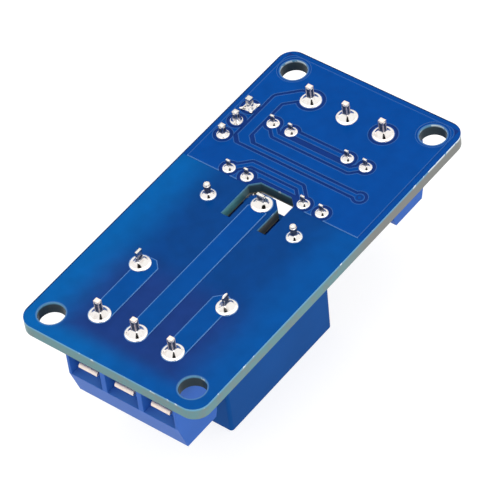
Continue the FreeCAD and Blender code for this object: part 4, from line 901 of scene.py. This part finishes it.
@dataclass
class SolderJoint:
    """One solder joint with the wetted pin that stands in it."""

    x: float
    y: float
    pad_radius: float
    pin: Pin
    seed: int
    rise: float = 0.82
    foot: float = 16.655
    board_top: float = 16.6
    coat: float = 0.02
    segments: int = 48
    # The lean of the solder's surface as a share of its height, and the rim's three swells as a share of its radius
    lean: Span = (0.03, 0.1)
    ripple: Span = (0.005, 0.02)
    swells: int = 3
    # From the pad's rim to the pin: share of the way in, and share of the joint's rise
    profile: tuple[Place, ...] = ((0.0, 0.0), (0.03, 0.06), (0.106, 0.085), (0.22, 0.11), (0.3, 0.145),
                                  (0.37, 0.2), (0.46, 0.285), (0.6, 0.425), (0.74, 0.565), (0.84, 0.67),
                                  (0.91, 0.755), (0.955, 0.84), (0.985, 0.93), (1.0, 1.0))
    # Along the pin's end: millimetres below the tip, and share of the pin's half size
    tip: tuple[Place, ...] = ((0.8, 1.0), (0.66, 1.06), (0.5, 1.17), (0.36, 1.2), (0.23, 1.12), (0.13, 0.94),
                              (0.06, 0.7), (0.02, 0.42), (0.0, 0.12))

    def outline(self, angle: float, cut: PinCut) -> Place:
        """Finds the point of the wetted pin's cross-section that lies at an angle.

        Args:
            angle: the angle about the pin's axis, in radians.
            cut: the form of the cross-section.

        Returns:
            The point's place from the pin's axis.
        """
        cosine, sine = math.cos(angle), math.sin(angle)
        half_x, half_y = (half + self.coat for half in self.pin.half)
        reach = (abs(cosine / half_x) ** cut.value + abs(sine / half_y) ** cut.value) ** (-1 / cut.value)
        return reach * cosine, reach * sine

    def rings(self) -> list[list[Point]]:
        """Lays rings of points up the joint and its pin.

        Returns:
            The rings, from the pad's rim to the pin's tip.
        """
        chance = random.Random(self.seed)
        lean, lean_at = chance.uniform(*self.lean), chance.uniform(0, math.tau)
        ripple, ripple_at = chance.uniform(*self.ripple), chance.uniform(0, math.tau)
        angles = [math.tau * step / self.segments for step in range(self.segments)]
        rings = []
        for inward, upward in self.profile:
            ring = []
            for angle in angles:
                pin_x, pin_y = self.outline(angle, self.pin.cut)
                swell = 1 + ripple * math.sin(self.swells * angle + ripple_at) * (1 - inward)
                pad_x, pad_y = (self.pad_radius * swell * turn for turn in (math.cos(angle), math.sin(angle)))
                height = self.rise * upward * (1 + lean * math.cos(angle - lean_at))
                ring.append((self.x + pad_x + (pin_x - pad_x) * inward,
                             self.y + pad_y + (pin_y - pad_y) * inward, self.foot + height))
            rings.append(ring)
        top = self.board_top + self.pin.reach + self.coat
        for below, share in self.tip:
            cut = self.pin.cut if share == 1.0 else PinCut.ROUND
            outline = [self.outline(angle, cut) for angle in angles]
            rings.append([(self.x + pin_x * share, self.y + pin_y * share, top - below)
                          for pin_x, pin_y in outline])
        return rings


@dataclass
class SpikedJoint(SolderJoint):
    """A joint whose solder was drawn out into spikes when the iron left it."""

    # Angle in degrees, reach and height of each spike, in millimetres
    spikes: tuple[Point, ...] = ((40.0, 1.5, 0.35), (142.0, 1.35, 0.3), (-49.0, 1.25, 0.25), (-137.0, 1.3, 0.25))
    waist: float = 0.72
    # Half the angle that a spike takes, in radians, and how fast it narrows outward and fades upward
    spike_width: float = 0.5
    narrowing: float = 1.6
    fading: float = 0.8

    def rings(self) -> list[list[Point]]:
        """Lays the rings and pulls their lower part out along each spike.

        Returns:
            The rings, from the pad's rim to the pin's tip.
        """
        rings = super().rings()
        for ring, (inward, _) in zip(rings, self.profile):
            for step, (x, y, z) in enumerate(ring):
                angle = math.tau * step / self.segments
                reach, lift = self.waist, 0.0
                for at, spike_reach, spike_lift in self.spikes:
                    apart = abs((angle - math.radians(at) + math.pi) % math.tau - math.pi)
                    pull = max(0.0, 1 - apart / self.spike_width) ** self.narrowing
                    reach = max(reach, self.waist + (spike_reach - self.waist) * pull)
                    lift = max(lift, spike_lift * pull)
                stretch = 1 + (reach / self.pad_radius - 1) * (1 - inward) ** self.fading
                ring[step] = (self.x + (x - self.x) * stretch, self.y + (y - self.y) * stretch,
                              z + lift * (1 - inward))
        return rings


@dataclass
class SolderSide:
    """All through-hole joints of the board, one piece for each kind of part."""

    centre_line: float = 0.1
    terminal_x: Place = (-19.25, 19.1)
    terminal_pitch: float = 5.08
    terminal_pad: float = 1.28
    terminal_pin: Pin = Pin((0.3, 0.35), 2.3)
    relay_spread: float = 6.0
    contact_x: float = -11.01
    contact_pad: float = 1.24
    closed_contact_pin: Pin = Pin((0.425, 0.15), 2.07)
    open_contact_pin: Pin = Pin((0.425, 0.15), 1.47)
    common_x: float = 3.19
    common_pin: Pin = Pin((0.175, 0.5), 1.6)
    coil_x: float = 1.19
    coil_pad: float = 0.91
    coil_pin: Pin = Pin((0.35, 0.35), 1.8, PinCut.ROUND)
    coil_rise: float = 0.56
    optocoupler_x: float = 9.77
    optocoupler_y: Place = (5.35, -5.07)
    optocoupler_half: Place = (4.1, 1.27)
    optocoupler_pad: float = 0.76
    optocoupler_pin: Pin = Pin((0.125, 0.25), 1.35)
    optocoupler_rise: float = 0.52
    header: Place = (12.06, 10.45)
    header_pitch: float = 2.54
    header_pad: float = 0.76
    header_pin: Pin = Pin((0.32, 0.32), 1.5)
    # The last pin was cut shorter
    cut_header_pin: Pin = Pin((0.32, 0.32), 0.9)
    header_rises: Point = (0.55, 0.9, 0.7)
    joints: dict[str, list[SolderJoint]] = field(default_factory=dict)

    def lay_out(self) -> None:
        """Lists the joints of each kind of part, each with a random seed of its own."""
        line, pitch, spread = self.centre_line, self.terminal_pitch, self.relay_spread
        self.joints["terminal_solder"] = [
            SolderJoint(x, line + pole * pitch, self.terminal_pad, self.terminal_pin, seed=10 * end + pole + 1)
            for end, x in enumerate(self.terminal_x) for pole in (-1, 0, 1)]
        self.joints["relay_solder"] = [
            SolderJoint(self.contact_x, line - spread, self.contact_pad, self.closed_contact_pin, seed=31),
            SolderJoint(self.contact_x, line + spread, self.contact_pad, self.open_contact_pin, seed=32),
            SolderJoint(self.common_x, line, self.contact_pad, self.common_pin, seed=33),
            SolderJoint(self.coil_x, line - spread, self.coil_pad, self.coil_pin, seed=34, rise=self.coil_rise),
            SolderJoint(self.coil_x, line + spread, self.coil_pad, self.coil_pin, seed=35, rise=self.coil_rise)]
        half_row, half_pitch = self.optocoupler_half
        self.joints["optocoupler_solder"] = [
            SolderJoint(self.optocoupler_x + end * half_row, y + side * half_pitch, self.optocoupler_pad,
                        self.optocoupler_pin, seed=50 + 4 * number + 2 * end + side, rise=self.optocoupler_rise)
            for number, y in enumerate(self.optocoupler_y) for end in (-1, 1) for side in (-1, 1)]
        x, y = self.header
        first, middle, last = self.header_rises
        self.joints["header_solder"] = [
            SolderJoint(x - self.header_pitch, y, self.header_pad, self.header_pin, seed=71, rise=first),
            SolderJoint(x, y, self.header_pad, self.header_pin, seed=72, rise=middle),
            SpikedJoint(x + self.header_pitch, y, self.header_pad, self.cut_header_pin, seed=73, rise=last)]

    def build(self, node: str) -> bpy.types.Object:
        """Makes the joints that stand for one CAD node.

        Args:
            node: the node's name.

        Returns:
            The piece that replaces it.
        """
        vertices: list[Point] = []
        faces: list[tuple[int, ...]] = []
        for joint in self.joints[node]:
            count = joint.segments
            for number, ring in enumerate(joint.rings()):
                start = len(vertices)
                vertices += ring
                if number:
                    faces += [(start - count + step, start - count + (step + 1) % count,
                               start + (step + 1) % count, start + step) for step in range(count)]
            faces.append(tuple(range(len(vertices) - count, len(vertices))))
        piece = new_piece(f"{node}_wetted", vertices, faces, SOLDER)
        for polygon in piece.data.polygons:
            polygon.use_smooth = True
        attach(piece, "root")
        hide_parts(node)
        return piece


@dataclass
class CircuitBoard:
    """The board with the copper on its solder side."""

    def dress(self) -> None:
        """Finishes the laminate and the copper."""
        dress(BOARD, "circuit_board")
        dress(COPPER, "solder_side_copper")


@dataclass
class TerminalBlock:
    """A three-way screw terminal block."""

    end: str
    poles: tuple[int, ...] = (1, 2, 3)

    def dress(self) -> None:
        """Finishes the housing and the clamps."""
        dress(BLOCK_PLASTIC, f"{self.end}_terminal_housing")
        for pole in self.poles:
            dress(CLAMP_TIN, f"{self.end}_contact_frame_{pole}", f"{self.end}_wire_guard_{pole}")
            dress(SCREW_ZINC, f"{self.end}_clamp_screw_{pole}")


@dataclass
class Relay:
    """The sealed relay and what works inside it."""

    def dress(self) -> None:
        """Finishes the case and the works."""
        dress(CASE_PLASTIC, "relay_cover")
        dress(BASE_PLASTIC, "relay_base")
        dress(BOBBIN_PLASTIC, "coil_bobbin")
        dress(WINDING, "coil_winding")
        dress(CORE_IRON, "coil_core", "magnet_yoke", "armature")
        dress(SPRING_BRONZE, "contact_spring")
        dress(CONTACT_SILVER, "moving_contact")
        dress(PIN_TIN, "normally_open_terminal", "normally_closed_terminal", "common_terminal", "coil_pins")


@dataclass
class TriggerHeader:
    """The pin header with its jumper."""

    def dress(self) -> None:
        """Finishes the strip, the pins and the jumper."""
        dress(HEADER_PLASTIC, "header_strip")
        dress(PIN_TIN, "header_pins")
        dress(JUMPER_PLASTIC, "jumper_cap")
        dress(SPRING_BRONZE, "jumper_clip")


@dataclass
class Optocoupler:
    """One optocoupler."""

    number: int

    def dress(self) -> None:
        """Finishes the body and the leads."""
        dress(PALE_EPOXY, f"optocoupler_{self.number}_body")
        dress(PIN_TIN, f"optocoupler_{self.number}_leads")


@dataclass
class SurfaceParts:
    """The surface-mounted parts of the component side."""

    def dress(self) -> None:
        """Finishes the parts and their solder."""
        dress(BLACK_EPOXY, "driver_transistor", "flyback_diode")
        dress(PIN_TIN, "transistor_leads", "diode_leads")
        dress(LAMP_EPOXY, "power_led", "switch_led")
        dress(CHIP_GLAZE, "chip_resistors")
        dress(SOLDER, "surface_mount_solder")


# Surroundings

@dataclass(frozen=True)
class LitAcrylic(Finish):
    """Opal acrylic of a shooting table, lit from below."""

    colour: str = "#9C9C9C"
    roughness: float = 0.9
    glow: float = 0.8

    def paint(self, tree: Tree, shader: Node, place: Socket) -> None:
        """Gives an even matt white whose own light fills most of the shadow.

        Args:
            tree: the material's node tree; not used.
            shader: its Principled shader.
            place: the point's place in the model's frame, in metres; not used.
        """
        shader.inputs["Base Color"].default_value = linear(self.colour)
        shader.inputs["Roughness"].default_value = self.roughness
        shader.inputs["Specular IOR Level"].default_value = 0.0
        shader.inputs["Emission Color"].default_value = (1, 1, 1, 1)
        shader.inputs["Emission Strength"].default_value = self.glow


@dataclass(frozen=True)
class Softbox:
    """A square soft light: its place, the point that it faces, the length of its side, and its power in watts."""

    name: str
    place: Point
    target: Point
    side: float
    power: float

    def hang(self) -> None:
        """Makes the light and turns it to its target."""
        lamp = bpy.data.lights.new(self.name, "AREA")
        lamp.shape = "SQUARE"
        lamp.size = self.side * MM
        lamp.energy = self.power
        box = bpy.data.objects.new(self.name, lamp)
        box.location = metres(self.place)
        box.rotation_euler = (Vector(self.place) - Vector(self.target)).to_track_quat("Z", "Y").to_euler()
        bpy.context.collection.objects.link(box)


@dataclass
class Studio:
    """The floor, the lights and the camera."""

    floor_half: float = 1500.0
    # The floor lies this far under the part, so that their faces are not in one plane
    floor_gap: float = 0.02
    softboxes: tuple[Softbox, ...] = (
        Softbox("overhead_softbox", (100.0, 100.0, 600.0), (0.0, 0.0, 0.0), 600.0, 1.0),
        Softbox("key_softbox", (-250.0, -480.0, 130.0), (0.0, 0.0, 10.0), 300.0, 0.6))
    camera_place: Point = (-205.111, -194.390, 315.202)
    camera_right: Point = (0.60440, -0.79066, -0.09776)
    camera_up: Point = (0.62411, 0.39364, 0.67494)
    camera_forward: Point = (0.49516, 0.46895, -0.73137)
    camera_clip: float = 10.0
    focal_pixels: float = 3729.43
    frame_pixels: float = 500.0
    sensor: float = 36.0
    # Brightness of the light tent and of its opening for the lens, which shows as a dark slit in the solder, the
    # opening's direction, and its inner and outer angles in degrees
    tent: float = 1.05
    opening_glow: float = 0.01
    opening: Point = (-0.495, -0.469, 0.731)
    opening_angles: Place = (17.0, 21.0)

    def build(self) -> None:
        """Makes the floor, the lights and the camera."""
        self.lay_floor()
        self.pitch_tent()
        for softbox in self.softboxes:
            softbox.hang()
        self.set_camera()

    def lay_floor(self) -> None:
        """Makes the floor on which the part lies."""
        corners = [(-1, -1), (1, -1), (1, 1), (-1, 1)]
        places = [(x * self.floor_half, y * self.floor_half, -self.floor_gap) for x, y in corners]
        floor = new_piece("studio_floor", places, [(0, 1, 2, 3)], LitAcrylic("opal_acrylic"))

    def pitch_tent(self) -> None:
        """Puts up the light tent, which is the world's light."""
        scene = bpy.context.scene
        scene.view_settings.view_transform = "Standard"
        world = bpy.data.worlds.new("studio_sky")
        world.use_nodes = True
        tree = world.node_tree
        background = tree.nodes["Background"]
        background.inputs["Color"].default_value = (1, 1, 1, 1)
        direction = add_node(tree, "ShaderNodeTexCoord").outputs["Generated"]
        toward_lens = add_node(tree, "ShaderNodeVectorMath", [direction, self.opening], operation="DOT_PRODUCT")
        inner, outer = (math.cos(math.radians(angle)) for angle in self.opening_angles)
        strength = add_node(tree, "ShaderNodeMapRange",
                            [toward_lens.outputs["Value"], outer, inner, self.tent, self.opening_glow])
        tree.links.new(strength.outputs[0], background.inputs["Strength"])
        scene.world = world

    def set_camera(self) -> None:
        """Sets the camera at the photograph's viewing angle."""
        lens = bpy.data.cameras.new("photo_camera")
        lens.sensor_width = self.sensor
        lens.lens = self.focal_pixels / self.frame_pixels * self.sensor
        lens.clip_start = self.camera_clip * MM
        camera = bpy.data.objects.new("photo_camera", lens)
        right, up, forward = (Vector(axis).normalized()
                              for axis in (self.camera_right, self.camera_up, self.camera_forward))
        turn = Matrix((right, up, -forward)).transposed()
        camera.matrix_world = Matrix.Translation(Vector(self.camera_place) * MM) @ turn.to_4x4()
        bpy.context.collection.objects.link(camera)
        bpy.context.scene.camera = camera


def main() -> None:
    """Builds and dresses the whole part in order."""
    logging.basicConfig(level=logging.INFO, format="%(message)s")
    side = SolderSide()
    side.lay_out()
    for node in side.joints:
        piece = side.build(node)
        LOG.info("built %s with %d faces", piece.name, len(piece.data.polygons))
    CircuitBoard().dress()
    for end in ("output", "input"):
        TerminalBlock(end).dress()
    Relay().dress()
    TriggerHeader().dress()
    for number in (1, 2):
        Optocoupler(number).dress()
    SurfaceParts().dress()
    Studio().build()


if __name__ == "__main__":
    main()
